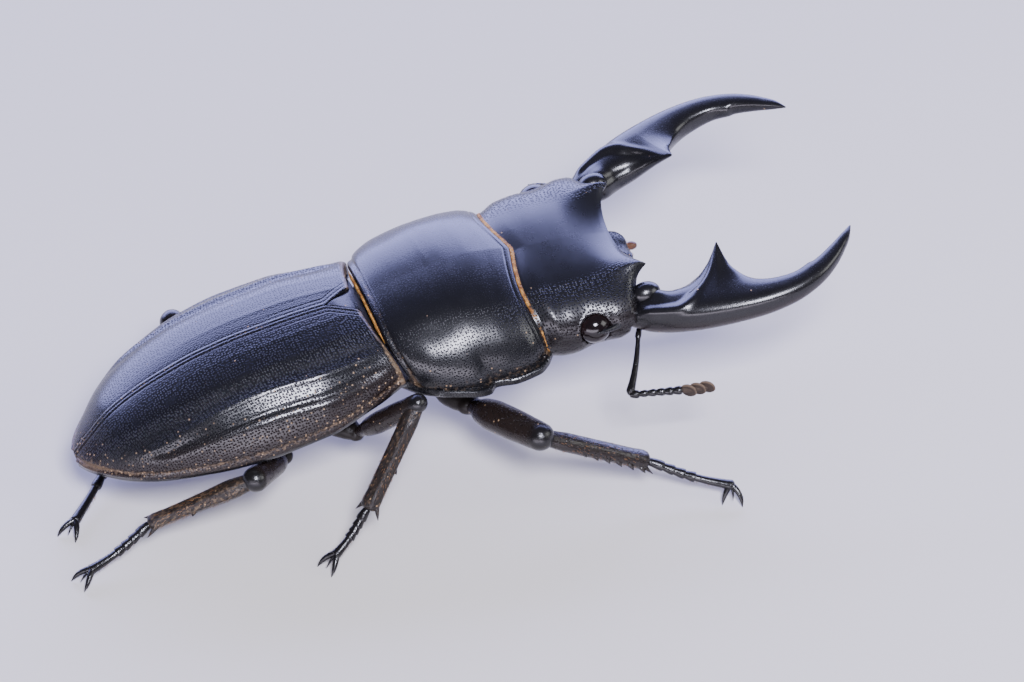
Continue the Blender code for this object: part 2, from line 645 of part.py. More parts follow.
def palp(name, sign, parent):
    """A jointed feeler beside the mouth, swelling a little in each of its three segments."""
    at = np.linspace(0, 1, 13)
    steps = np.stack([at, sign * at, at**1.3], axis=-1)
    path = np.multiply(PALP_ROOT, (1, sign, 1)) + steps * PALP_REACH
    radius = PALP_RADIUS + PALP_SWELL * np.abs(np.sin(3 * np.pi * at))
    radius[0] = radius[-1] = 0.2
    on_head(limb(name, path, radius, radius, "palp", parent, sides=6))


def scape(name, root, elbow, parent):
    """The long first segment of a feeler, thicker at its far end."""
    way = unit(elbow - root)
    at = np.linspace(0, 1, len(SCAPE_RADIUS))
    return spindle(name, root, elbow - way * 0.1, at, SCAPE_RADIUS, SCAPE_RADIUS, "leg", parent, sides=8)


def funicle(name, elbow, neck, parent):
    """The string of small beads between a feeler's elbow and its club."""
    start = elbow + unit(neck - elbow) * FUNICLE_START
    at = np.linspace(0, 1, 2 * FUNICLE_BEADS + 1)
    radius = 0.25 + 0.08 * np.abs(np.sin(FUNICLE_BEADS * np.pi * at))
    return spindle(name, start, neck, at, radius, radius, "leg", parent, sides=7)


def club(name, neck, tip, parent):
    """The comb at a feeler's end: a short stem with leaves that hang from it."""
    way = unit(tip - neck)
    start = neck + way * GAP
    at = np.linspace(0, 1, len(CLUB_RADIUS))
    stem = spindle(name, start, tip - way * 0.3, at, CLUB_RADIUS, CLUB_RADIUS, "club", parent, sides=8)
    down = np.array([0, 0, -1.0])
    leaves = []
    for k in range(CLUB_LEAVES):
        foot = start + way * (0.45 + 0.8 * k)
        end = foot + down * (0.95 - 0.08 * k) + way * 0.25
        leaves.append(spindle("leaf", foot, end, (0, 0.4, 0.8, 1), (0.3, 0.42, 0.36, 0.2),
                              (0.22, 0.24, 0.2, 0.12), "club", parent, up=way, sides=8))
    return combined(stem, leaves)


def antenna(side, parent):
    """An elbowed feeler in three pieces: scape, funicle and club."""
    joints = {key: np.array(value) for key, value in ANTENNA_JOINTS[side].items()}
    on_head(scape("antenna_scape_" + side, joints["root"], joints["elbow"], parent))
    on_head(funicle("antenna_funicle_" + side, joints["elbow"], joints["neck"], parent))
    on_head(club("antenna_club_" + side, joints["neck"], joints["tip"], parent))


def unit(vector):
    """The vector at length one."""
    vector = np.asarray(vector, float)
    return vector / np.linalg.norm(vector)


def segment(name, origin, joint, clear_of, radii, kind, parent, cap=1.0, flat=0.85, sides=10):
    """A leg piece that starts a gap outside the ball round its origin and ends in the next joint's ball.

    The radii are those of its first face, its middle and its end, and cap flattens the end ball.
    """
    origin, joint = np.asarray(origin, float), np.asarray(joint, float)
    way = unit(joint - origin)
    start = origin + way * (clear_of + GAP)
    run = np.linalg.norm(joint - start)
    first, middle, last = radii
    share = np.array((0, 0.04, 0.14, 0.32, 0.55, 0.8, 1.0))
    radii_along = (0.8 * first, first, (first + 2 * middle) / 3, middle, (middle + 2 * last) / 3, last)
    radius = through((0, 0.04, 0.14, 0.45, 0.85, 1.0), radii_along, share)
    turn = np.radians((30, 60, 84))
    away = np.concatenate([run * share, run + cap * last * np.sin(turn)])
    radius = np.concatenate([radius, last * np.cos(turn)])
    path = start + np.outer(away, way)
    return limb(name, path, radius, radius * flat, kind, parent, sides=sides), start


def leg(key, parent):
    """Hip, thigh, shin and foot of one leg, each a piece of its own."""
    rank = key.split("_")[0]
    joints = {name: np.array(value) for name, value in LEG_JOINTS[key].items()}
    coxa, hip, knee, ankle, toe, claw = (joints[n] for n in ("coxa", "hip", "knee", "ankle", "toe", "claw"))
    outward = np.sign(coxa[1])
    thick = FEMUR_RADIUS[rank]
    slim, broad = TIBIA_RADIUS[rank]
    ball = 0.72 * thick
    round_knee = KNEE_RADIUS[rank]
    inner_end = coxa - (hip - coxa) * 0.9
    coxa_radii = (COXA_HALF_WIDTH, 1.25 * thick, ball)
    segment(key + "_coxa", inner_end, hip, 0, coxa_radii, "belly", parent, flat=0.8)
    segment(key + "_femur", hip, knee, ball, (0.75 * thick, thick, round_knee), "leg", parent)
    shin_radii = (0.6 * slim, (slim + broad) / 2, 1.1 * broad)
    room = round_knee + FOLD_ROOM[rank]
    shin, start = segment(key + "_tibia", knee, ankle, room, shin_radii, "leg", parent, TIBIA_CAP, sides=8)
    combined(shin, tibia_spines(rank, start, ankle, outward, slim, broad, parent))
    tarsus(key, ankle, toe, claw, 0.62 * broad, parent)


def tibia_spines(rank, start, ankle, outward, slim, broad, parent):
    """Teeth along the outer edge of a shin and the two spurs at its end."""
    run = ankle - start
    way = unit(run)
    side = unit(np.cross(way, (0, 0, 1)) * outward)
    if np.dot(side, (0, outward, 0)) < 0:
        side = -side
    down = np.array([0, 0, -1.0])
    spines = []
    for k, at in enumerate(TIBIA_TEETH_AT[rank]):
        root = start + run * at
        wide = slim + (broad - slim) * at
        reach = wide + TIBIA_TOOTH_REACH + 0.05 * k
        tip = root + (side * 0.86 + down * 0.3 + way * 0.4) * reach
        width, height = (0.42, 0.34, 0.06), (0.3, 0.25, 0.06)
        up = down + 0.01 * way
        spines.append(spindle("spine", root, tip, (0, 0.5, 1), width, height, "leg", parent, up=up, sides=6))
    for lean in (-0.5, 0.5):
        root = ankle - way * 0.6 + side * lean * 0.7
        tip = ankle + way * 0.6 + side * lean * 2.4 + down * 0.3
        width, height = (0.3, 0.22, 0.05), (0.28, 0.2, 0.05)
        spines.append(spindle("spur", root, tip, (0, 0.5, 1), width, height, "leg", parent, sides=6))
    return spines


def tarsus(key, ankle, toe, claw, clear_of, parent):
    """A foot of five beads, the last the longest, with two hooked claws set on the floor."""
    way = unit(toe - ankle)
    start = ankle + way * (clear_of + GAP)
    steps = np.linspace(0, 1, 3 * TARSOMERES + 1)
    share = np.concatenate([np.linspace(0, 0.6, 13), np.linspace(0.6, 1, 4)[1:]])
    bead = np.abs(np.sin(TARSOMERES * np.pi * steps)) ** 0.7
    radius = TARSUS_RADIUS * (0.62 + 0.42 * bead)
    radius[0] = radius[-1] = TARSUS_RADIUS * 0.6
    path = start + np.outer(share, toe - start)
    path[:, 2] -= 0.35 * np.sin(np.pi * share)
    foot = limb(key + "_tarsus", path, radius, radius * 0.95, "leg", parent, sides=7)
    ahead = unit((claw - toe) * (1, 1, 0))
    side = np.array([-ahead[1], ahead[0], 0])
    hooks = []
    for sign in (-1, 1):
        tip = claw + side * sign * CLAW_SPREAD
        elbow = toe + (claw - toe) * 0.45 + side * sign * 0.75 + np.array([0, 0, 0.35])
        s = np.linspace(0, 1, 4)[:, None]
        hook = (1 - s) ** 2 * (toe - way * 0.2) + 2 * s * (1 - s) * elbow + s**2 * tip
        size = (0.3, 0.27, 0.21, 0.12)
        hooks.append(limb("claw", hook, size, size, "leg", parent, up=(0.02, 0.01, 1), sides=6))
    combined(foot, hooks)
    set_on_floor(foot)


def set_on_floor(foot):
    """Flattens what of the foot would lie under the floor to a small flat at the floor's level."""
    points = points_of(foot.data)
    points[:, 2] = np.maximum(points[:, 2], -BODY_HEIGHT * MM)
    move_points(foot.data, points)


def build():
    """Makes every piece in its frame, then sets the whole on the floor."""
    clear_scene()
    beetle = bpy.data.objects.new("beetle", None)
    torso = bpy.data.objects.new("torso_pose", None)
    stance = bpy.data.objects.new("stance", None)
    for empty in (beetle, torso, stance):
        bpy.context.scene.collection.objects.link(empty)
    torso.parent = beetle
    stance.parent = beetle
    torso.location = (0, 0, BODY_HEIGHT * MM)
    torso.rotation_euler = (0, -np.radians(PITCH_DEG), 0)
    stance.location = (0, 0, BODY_HEIGHT * MM)
    for side, sign in (("right", -1), ("left", 1)):
        elytron("elytron_" + side, sign, torso)
        mandible("mandible_" + side, sign, torso)
        palp("palp_" + side, sign, torso)
        antenna(side, torso)
        on_head(dome("eye_" + side, np.multiply(EYE_CENTRE, (1, sign, 1)), EYE_RADII, "eye", torso))
    scutellum(torso)
    thorax(torso)
    abdomen(torso)
    pronotum(torso)
    head(torso)
    labrum(torso)
    for key in LEG_JOINTS:
        leg(key, stance)
    centre_on_floor(beetle)


def centre_on_floor(beetle):
    """Moves the whole model so that the origin lies under its middle, at the floor."""
    bpy.context.view_layer.update()
    corners = []
    for obj in bpy.data.objects:
        if obj.type == "MESH":
            world = np.array(obj.matrix_world)
            corners.append(points_of(obj.data) @ world[:3, :3].T + world[:3, 3])
    points = np.concatenate(corners)
    low, high = points.min(axis=0), points.max(axis=0)
    beetle.location = (-(low[0] + high[0]) / 2, -(low[1] + high[1]) / 2, -low[2])
    bpy.context.view_layer.update()


build()
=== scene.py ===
"""Looks of the male stag beetle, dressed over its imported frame.

Shapes are worked out in millimetres in the beetle's own torso frame, whose origin is the middle
of the neck shield's rear edge, with +X towards the head, +Y to the beetle's left and +Z up. The
legs use the same frame before the torso is pitched. Placement turns both into the row frame.
"""

import logging
from collections.abc import Callable, Sequence
from dataclasses import dataclass, field
from enum import Enum

import bpy
import numpy as np
from mathutils import Matrix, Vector
from numpy.typing import ArrayLike, NDArray


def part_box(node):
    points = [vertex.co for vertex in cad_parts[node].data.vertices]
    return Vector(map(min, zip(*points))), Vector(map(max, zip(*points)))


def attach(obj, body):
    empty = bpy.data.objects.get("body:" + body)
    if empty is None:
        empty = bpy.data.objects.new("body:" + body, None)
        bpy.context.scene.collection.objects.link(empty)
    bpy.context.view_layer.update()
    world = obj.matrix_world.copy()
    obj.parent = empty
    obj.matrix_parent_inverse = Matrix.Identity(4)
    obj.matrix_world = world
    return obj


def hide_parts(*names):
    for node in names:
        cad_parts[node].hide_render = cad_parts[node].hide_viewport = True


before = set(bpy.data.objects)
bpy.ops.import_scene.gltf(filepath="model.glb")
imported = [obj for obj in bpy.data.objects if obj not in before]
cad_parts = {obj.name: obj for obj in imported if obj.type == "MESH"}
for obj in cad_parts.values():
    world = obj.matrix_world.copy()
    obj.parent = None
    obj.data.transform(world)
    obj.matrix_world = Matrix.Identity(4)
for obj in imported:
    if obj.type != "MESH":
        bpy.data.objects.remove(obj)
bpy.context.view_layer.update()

Array = NDArray[np.float64]
Masks = dict[str, Array]
Triple = tuple[float, float, float]
Colour = tuple[float, float, float, float]

LOG = logging.getLogger("beetle")
MM = 0.001
SKIN_MAP = "Skin"
BAKE_MAP = "OFBake"
PITCH = np.radians(6.0)
FLOOR_Z = -10.6
UP = (0, 0, 1)
DOWN = np.array([0, 0, -1.0])
EYE_CENTRE = (16.4, 8.15, -0.32)
EYE_RADII = (1.45, 1.25, 1.35)
SIDES = {"right": -1.0, "left": 1.0}


def smooth(low: float, high: float, value: ArrayLike) -> Array:
    """Rises smoothly from 0 at low to 1 at high, as 3 t squared minus 2 t cubed.

    Args:
        low: where the rise starts.
        high: where it ends; below low it makes a fall.
        value: where it is read.

    Returns:
        The share at each value.
    """
    t = np.clip((np.asarray(value, float) - low) / (high - low), 0, 1)
    return t * t * (3 - 2 * t)


def bell(value: ArrayLike, centre: ArrayLike, width: ArrayLike) -> Array:
    """Gaussian bump: exp of minus the squared distance to the centre in widths."""
    return np.exp(-(((np.asarray(value, float) - centre) / width) ** 2))


def unit(vector: ArrayLike) -> Array:
    """The vector, or each of the vectors in the last axis, at length 1."""
    vector = np.asarray(vector, float)
    return vector / np.maximum(np.linalg.norm(vector, axis=-1, keepdims=True), 1e-12)


def course(first: Array, last: Array) -> tuple[Array, float]:
    """Direction and length of the way from one point to another."""
    return unit(last - first), float(np.linalg.norm(last - first))


def arch(share: ArrayLike, flatness: float = 2.4, roundness: float = 1.9) -> Array:
    """Dome height over shares of a half width: (1 - |share|^flatness)^(1 / roundness)."""
    return (1 - np.clip(np.abs(share), 0, 1) ** flatness) ** (1 / roundness)


def around(count: int) -> Array:
    """Even angles over one full turn, from 0 on."""
    return np.linspace(0, 2 * np.pi, count, endpoint=False)


def grid(x: ArrayLike, y: ArrayLike, z: ArrayLike) -> Array:
    """Points from three coordinates, each spread over the rows or columns that it lacks."""
    return np.stack(np.broadcast_arrays(x, y, z), -1)


def rolled(distance: ArrayLike, width: float) -> Array:
    """Share by which an edge is rolled: (1 - distance / width)^2, and 0 beyond the width."""
    return np.clip(1 - distance / width, 0, 1) ** 2


def even(**levels: float) -> Masks:
    """Masks that have one level over a whole sheet."""
    return {name: np.full((1, 1), level) for name, level in levels.items()}


@dataclass(frozen=True)
class Profile:
    """A smooth curve through stations that never overshoots them.

    Between two stations it is a cubic Hermite; a station's slope is the harmonic mean of the
    slopes beside it, or flat where these differ in sign.
    """

    stations: tuple[float, ...]
    values: tuple[float, ...]

    def __call__(self, at: ArrayLike) -> Array:
        """Reads the curve.

        Args:
            at: places along the stations, held inside their range.

        Returns:
            The value at each place.
        """
        x = np.asarray(self.stations, float)
        y = np.asarray(self.values, float)
        if x[0] > x[-1]:
            x, y = x[::-1], y[::-1]
        run = np.diff(x)
        slope = np.diff(y) / run
        tangent = np.concatenate([[slope[0]], self.bend(run, slope), [slope[-1]]])
        at = np.clip(np.asarray(at, float), x[0], x[-1])
        k = np.clip(np.searchsorted(x, at) - 1, 0, len(run) - 1)
        u = (at - x[k]) / run[k]
        return (
            y[k] * (1 + 2 * u) * (1 - u) ** 2
            + tangent[k] * run[k] * u * (1 - u) ** 2
            + y[k + 1] * u**2 * (3 - 2 * u)
            + tangent[k + 1] * run[k] * u**2 * (u - 1)
        )

    def bend(self, run: Array, slope: Array) -> Array:
        """The curve's slope at each inner station, from the runs and slopes between stations."""
        product = slope[:-1] * slope[1:]
        total = np.where(product > 0, slope[:-1] + slope[1:], 1)
        return np.where(product > 0, 2 * product / total, 0)


@dataclass(frozen=True)
class Flow(Profile):
    """A profile that swings freely through its stations, for paths and outlines."""

    def bend(self, run: Array, slope: Array) -> Array:
        """Mean of the two neighbouring slopes, each weighted by the other's run."""
        return (slope[:-1] * run[1:] + slope[1:] * run[:-1]) / (run[:-1] + run[1:])


class Ends(Enum):
    """How the first and last row of a sheet are closed."""

    OPEN = "open"
    FAN = "fan"
    STRIP = "strip"


@dataclass
class Sheet:
    """A grid of points in millimetres with the masks that its finish reads.

    A wrapped sheet joins its last column to its first. FAN closes each end row to its middle,
    and STRIP joins point j of an end row to point n - 1 - j, for rows that run out and back.
    """

    points: Array
    masks: Masks = field(default_factory=dict)
    wrap: bool = True
    ends: Ends = Ends.FAN
    spine: int = 0

    def normals(self) -> Array:
        """Unit normals of the grid, from the cross product of its two slopes."""
        p = self.points
        if self.wrap:
            padded = np.concatenate([p[:, -1:], p, p[:, :1]], axis=1)
            across = (padded[:, 2:] - padded[:, :-2]) / 2
        else:
            across = np.gradient(p, axis=1)
        return unit(np.cross(np.gradient(p, axis=0), across))

    def raised(self, relief: Array, outward: float = 1.0) -> "Sheet":
        """The sheet moved along its normals.

        Args:
            relief: height in millimetres at each point.
            outward: 1 or -1, the way the grid's normals have to be turned to point out.

        Returns:
            The sheet itself, changed.
        """
        self.points = self.points + self.normals() * (relief * outward)[..., None]
        return self

    def vertices(self) -> Array:
        """The grid's points as a list, with the middle of each end row added for FAN."""
        flat = self.points.reshape(-1, 3)
        if self.ends is not Ends.FAN:
            return flat
        return np.concatenate([flat, self.points[0].mean(0)[None], self.points[-1].mean(0)[None]])

    def values(self, name: str) -> Array:
        """One mask at every vertex, 0 where the sheet has none of that name."""
        rows, columns = self.points.shape[:2]
        levels = np.broadcast_to(self.masks.get(name, np.zeros(1)), (rows, columns))
        if self.ends is not Ends.FAN:
            return levels.reshape(-1)
        return np.concatenate([levels.reshape(-1), [levels[0].mean(), levels[-1].mean()]])

    def laid_flat(self) -> Array:
        """Where each vertex lies on the sheet laid flat, in metres.

        The first number is the length down the vertex's column from the first row, and the second
        the length along its row from the spine column.
        """
        p = self.points
        down = np.linalg.norm(np.diff(p, axis=0, prepend=p[:1]), axis=-1).cumsum(axis=0)
        out = np.linalg.norm(np.diff(p, axis=1, prepend=p[:, :1]), axis=-1).cumsum(axis=1)
        flat = np.stack([down, out - out[:, self.spine, None]], -1) * MM
        if self.ends is not Ends.FAN:
            return flat.reshape(-1, 2)
        return np.concatenate([flat.reshape(-1, 2), flat[0].mean(0)[None], flat[-1].mean(0)[None]])

    def faces(self) -> tuple[Array, Array]:
        """Quads between neighbouring rows and columns, and the faces that close the ends.

        Returns:
            The quads and the triangles, as arrays of vertex numbers that point outwards.
        """
        rows, columns = self.points.shape[:2]
        i = np.arange(rows - 1)[:, None] * columns
        j = np.arange(columns if self.wrap else columns - 1)[None]
        k = (j + 1) % columns
        quads = np.stack(np.broadcast_arrays(i + j, i + k, i + columns + k, i + columns + j), -1)
        quads = quads.reshape(-1, 4)
        last = (rows - 1) * columns
        triangles = np.zeros((0, 3), int)
        if self.ends is Ends.FAN:
            j, k = j[0], k[0]
            first_middle = np.full_like(j, rows * columns)
            triangles = np.concatenate([
                np.stack([first_middle, k, j], -1),
                np.stack([first_middle + 1, last + j, last + k], -1),
            ])
        if self.ends is Ends.STRIP:
            a = np.arange(columns // 2 - 1)
            back = columns - 1 - a
            front = np.stack([a, back, back - 1, a + 1], -1)
            quads = np.concatenate([quads, front, last + front[:, ::-1]])
        corners = self.vertices()
        split = np.concatenate([quads[:, [0, 1, 2]], quads[:, [0, 2, 3]], triangles])
        a, b, c = (corners[split[:, n]] for n in range(3))
        if np.einsum("ij,ij->", a, np.cross(b, c)) < 0:
            quads, triangles = quads[:, ::-1], triangles[:, ::-1]
        return quads, triangles


@dataclass(frozen=True)
class NeckTurn:
    """The head's turn on the neck, which grows from nothing at the head's rear rim.

    The mandibles swing towards the right, the right side drops and the mandibles lift.
    """

    turn: float = np.radians(-2.8)
    lift: float = np.radians(1.3)
    roll: float = np.radians(2.0)
    neck_x: float = 12.0
    rim_x: float = 12.3
    give: float = 2.2

    def carry(self, points: Array) -> Array:
        """Points in millimetres of the torso frame, after the head is turned."""
        cz, sz, cy, sy = np.cos(self.turn), np.sin(self.turn), np.cos(self.lift), np.sin(self.lift)
        cx, sx = np.cos(self.roll), np.sin(self.roll)
        about_z = np.array([[cz, -sz, 0], [sz, cz, 0], [0, 0, 1]])
        about_y = np.array([[cy, 0, -sy], [0, 1, 0], [sy, 0, cy]])
        about_x = np.array([[1, 0, 0], [0, cx, -sx], [0, sx, cx]])
        neck = np.array([self.neck_x, 0, 0])
        whole = (points - neck) @ (about_z @ about_y @ about_x).T + neck
        part = smooth(self.rim_x, self.rim_x + self.give, points[..., :1])
        return points + (whole - points) * part


@dataclass(frozen=True)
class Placement:
    """Where millimetres of a body frame lie in the row frame: turned by pitch, then shifted."""

    pitch: float
    shift: Array
    neck: NeckTurn | None = None

    def turn(self, vectors: ArrayLike) -> Array:
        """Vectors turned about the Y axis so that +X rises by the pitch."""
        v = np.asarray(vectors, float)
        c, s = np.cos(self.pitch), np.sin(self.pitch)
        return np.stack([v[..., 0] * c - v[..., 2] * s, v[..., 1], v[..., 0] * s + v[..., 2] * c], -1)

    def place(self, points: ArrayLike) -> Array:
        """Points in metres in the row frame."""
        points = np.asarray(points, float)
        if self.neck is not None:
            points = self.neck.carry(points)
        return (self.turn(points) + self.shift) * MM


def placements() -> tuple[Placement, Placement, Placement]:
    """Finds the body's frames from where the frame's right eye lies.

    Returns:
        The pitched torso placement, the head's and the level stance placement.
    """
    low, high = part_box("eye_right")
    middle = (np.array(low) + np.array(high)) / 2 / MM
    head = Placement(PITCH, np.zeros(3), NeckTurn())
    shift = middle - head.place(np.array(EYE_CENTRE) * (1, -1, 1)) / MM
    return Placement(PITCH, shift), Placement(PITCH, shift, NeckTurn()), Placement(0.0, shift)


TORSO, HEAD, STANCE = placements()


@dataclass
class Piece:
    """One visible object made of sheets, which stands for frame nodes."""

    name: str
    sheets: list[Sheet]
    finish: "Finish"
    replaces: tuple[str, ...]
    slot: str
    placement: Placement = TORSO
    sharp_degrees: float = 50.0

    def build(self) -> bpy.types.Object:
        """Puts the sheets into one mesh, writes their masks and hangs it on the body.

        Returns:
            The object, at the origin with its place in its mesh.
        """
        points, quads, triangles, offset = [], [], [], 0
        for sheet in self.sheets:
            q, t = sheet.faces()
            points.append(sheet.vertices())
            quads.append(q + offset)
            triangles.append(t + offset)
            offset += len(points[-1])
        mesh = mesh_from(self.name, self.placement.place(np.concatenate(points)),
                         np.concatenate(quads), np.concatenate(triangles))
        for name in sorted({name for sheet in self.sheets for name in sheet.masks}):
            layer = mesh.attributes.new(name, "FLOAT", "POINT")
            values = np.concatenate([sheet.values(name) for sheet in self.sheets])
            layer.data.foreach_set("value", values.astype(np.float32))
        lay_out(mesh, SKIN_MAP, np.concatenate([sheet.laid_flat() for sheet in self.sheets]))
        mesh.set_sharp_from_angle(angle=np.radians(self.sharp_degrees))
        return dressed(self.name, mesh, self.finish, self.replaces)


def mesh_from(name: str, points: Array, quads: Array, triangles: Array) -> bpy.types.Mesh:
    """A smooth-shaded mesh from arrays of vertices and faces.

    Args:
        name: the mesh's name.
        points: vertices in metres.
        quads: faces of four corners.
        triangles: faces of three corners.

    Returns:
        The mesh.
    """
    mesh = bpy.data.meshes.new(name)
    mesh.vertices.add(len(points))
    mesh.vertices.foreach_set("co", points.astype(np.float32).ravel())
    corners = np.concatenate([quads.ravel(), triangles.ravel()]).astype(np.int32)
    mesh.loops.add(len(corners))
    mesh.loops.foreach_set("vertex_index", corners)
    starts = np.concatenate([
        np.arange(len(quads)) * 4,
        len(quads) * 4 + np.arange(len(triangles)) * 3,
    ]).astype(np.int32)
    mesh.polygons.add(len(starts))
    mesh.polygons.foreach_set("loop_start", starts)
    mesh.update(calc_edges=True)
    mesh.validate()
    mesh.shade_smooth()
    return mesh


def lay_out(mesh: bpy.types.Mesh, name: str, places: Array) -> None:
    """Gives a mesh a UV map.

    Args:
        mesh: the mesh.
        name: the map's name.
        places: one place for each vertex.
    """
    corners = np.empty(len(mesh.loops), np.int32)
    mesh.loops.foreach_get("vertex_index", corners)
    mesh.uv_layers.new(name=name).data.foreach_set("uv", places[corners].astype(np.float32).ravel())


def linked(name: str, data: bpy.types.ID, axes: Sequence[Array] = (),
           place: ArrayLike = (0, 0, 0)) -> bpy.types.Object:
    """Adds an object to the scene.

    Args:
        name: the object's name.
        data: its mesh, camera or light.
        axes: the directions of its own X, Y and Z; without them it isn't moved.
        place: where it stands, in metres.

    Returns:
        The object.
    """
    obj = bpy.data.objects.new(name, data)
    bpy.context.scene.collection.objects.link(obj)
    if axes:
        turned = np.eye(4)
        turned[:3, :3] = np.stack(axes, -1)
        turned[:3, 3] = place
        obj.matrix_world = Matrix(turned.tolist())
    return obj


def dressed(
    name: str, mesh: bpy.types.Mesh, finish: "Finish", replaces: Sequence[str]
) -> bpy.types.Object:
    """Makes a mesh a piece of the beetle.

    Args:
        name: the piece's name.
        mesh: its mesh, in the row frame.
        finish: what it is covered with.
        replaces: the frame nodes that it stands for.

    Returns:
        The object, riding on the body.
    """
    mesh.materials.append(finish.material())
    obj = linked(name, mesh)
    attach(obj, "root")
    if replaces:
        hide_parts(*replaces)
    return obj


def swept(
    path: Array,
    half_width: ArrayLike,
    half_height: ArrayLike | None = None,
    sides: int = 24,
    up: ArrayLike = UP,
    power: float = 2.0,
    shape: Callable[[Array, Array], Array] | None = None,
) -> Sheet:
    """A closed tube: superellipse sections square to a path.

    A section point is path + side * width * cos^(2/power) + rise * height * sin^(2/power), with
    side = along x up and rise = side x along.

    Args:
        path: the middle of each section, in millimetres.
        half_width: half sizes across, along side.
        half_height: half sizes along rise, the same as across where they aren't given.
        sides: points in a section.
        up: the direction that rise leans to, one for all or one for each section.
        power: 2 for ovals, more for boxes.
        shape: factor on a section's size, from the row's share of the path and the angle.

    Returns:
        The tube, its ends closed by fans.
    """
    path = np.asarray(path, float)
    rows = len(path)
    width = np.broadcast_to(np.asarray(half_width, float), rows)
    height = width
    if half_height is not None:
        height = np.broadcast_to(np.asarray(half_height, float), rows)
    along = unit(np.gradient(path, axis=0))
    side = unit(np.cross(along, np.broadcast_to(np.asarray(up, float), (rows, 3))))
    rise = np.cross(side, along)
    angle = around(sides)
    c = np.sign(np.cos(angle)) * np.abs(np.cos(angle)) ** (2 / power)
    s = np.sign(np.sin(angle)) * np.abs(np.sin(angle)) ** (2 / power)
    factor = np.ones((rows, sides))
    if shape is not None:
        factor = shape(np.linspace(0, 1, rows)[:, None], angle[None])
    return Sheet(
        path[:, None]
        + side[:, None] * (width[:, None] * c * factor)[..., None]
        + rise[:, None] * (height[:, None] * s * factor)[..., None]
    )


def bead(centre: ArrayLike, radii: ArrayLike, rows: int = 24, sides: int = 32) -> Sheet:
    """A closed egg round a centre: radii times sin(polar) cos, sin(polar) sin and cos(polar)."""
    hole = 0.02
    polar = np.linspace(hole, np.pi - hole, rows)[:, None]
    angle = around(sides)[None]
    ball = grid(np.sin(polar) * np.cos(angle), np.sin(polar) * np.sin(angle), np.cos(polar))
    return Sheet(ball * np.asarray(radii, float) + np.asarray(centre, float))


@dataclass(frozen=True)
class Hairs:
    """Stiff hairs joined into one mesh, each a bent three-sided spike rooted in the skin.

    Along a hair, with t from just under the skin to 1, the middle runs as root + way * length * t,
    lowered by sag * length * t^2, and the radius falls from the thickness to a point. Rings of
    three points stand at the marks, and the tenth point is the tip. Each hair's place on the
    skin's own unwrap goes to the bake map as a small patch.
    """

    name: str
    roots: Array
    ways: Array
    lengths: Array
    unwrap: Array
    finish: "Finish"
    replaces: tuple[str, ...]
    slot: str
    placement: Placement = TORSO
    thickness: float = 0.02
    sag: float = 0.2
    marks: tuple[float, ...] = (-0.1, 0.45, 0.8)
    widths: tuple[float, ...] = (1.0, 0.8, 0.45)
    patch: float = 0.003

    def build(self) -> bpy.types.Object:
        """Makes the hairs, at the origin with their places in the mesh.

        Returns:
            The object, hung on the body.
        """
        count = len(self.roots)
        way = unit(self.ways)[:, None]
        side = unit(np.cross(way, (0.13, 0.29, 1.0)))
        rise = np.cross(side, way)
        angle = np.arange(3) * 2 * np.pi / 3
        ring = side * np.cos(angle)[None, :, None] + rise * np.sin(angle)[None, :, None]
        along = np.array((*self.marks, 1.0))
        length = self.lengths[:, None, None]
        middle = self.roots[:, None] + way * length * along[None, :, None]
        middle[..., 2] -= self.sag * self.lengths[:, None] * np.clip(along, 0, 1) ** 2
        radius = self.thickness * np.array(self.widths)
        rings = middle[:, :3, None] + ring[:, None] * radius[None, :, None, None]
        points = np.concatenate([rings.reshape(count, 9, 3), middle[:, 3:]], 1).reshape(-1, 3)
        points[:, 2] = np.maximum(points[:, 2], FLOOR_Z)
        each = len(points) // count
        first = (np.arange(count) * each)[:, None, None]
        walls = [(m + j, m + 3 + j, m + 3 + k, m + k)
                 for m in (0, 3) for j, k in ((0, 1), (1, 2), (2, 0))]
        tips = [(6, 9, 7), (7, 9, 8), (8, 9, 6), (0, 1, 2)]
        quads = (np.array(walls)[None] + first).reshape(-1, 4)
        triangles = (np.array(tips)[None] + first).reshape(-1, 3)
        mesh = mesh_from(self.name, self.placement.place(points), quads, triangles)
        spot = np.stack([np.arange(each) % 3 / 3, np.repeat([0, *along[1:]], 3)[:each]], -1)
        places = np.repeat(self.unwrap, each, axis=0) + (np.tile(spot, (count, 1)) - 0.5) * self.patch
        lay_out(mesh, BAKE_MAP, places)
        return dressed(self.name, mesh, self.finish, self.replaces)


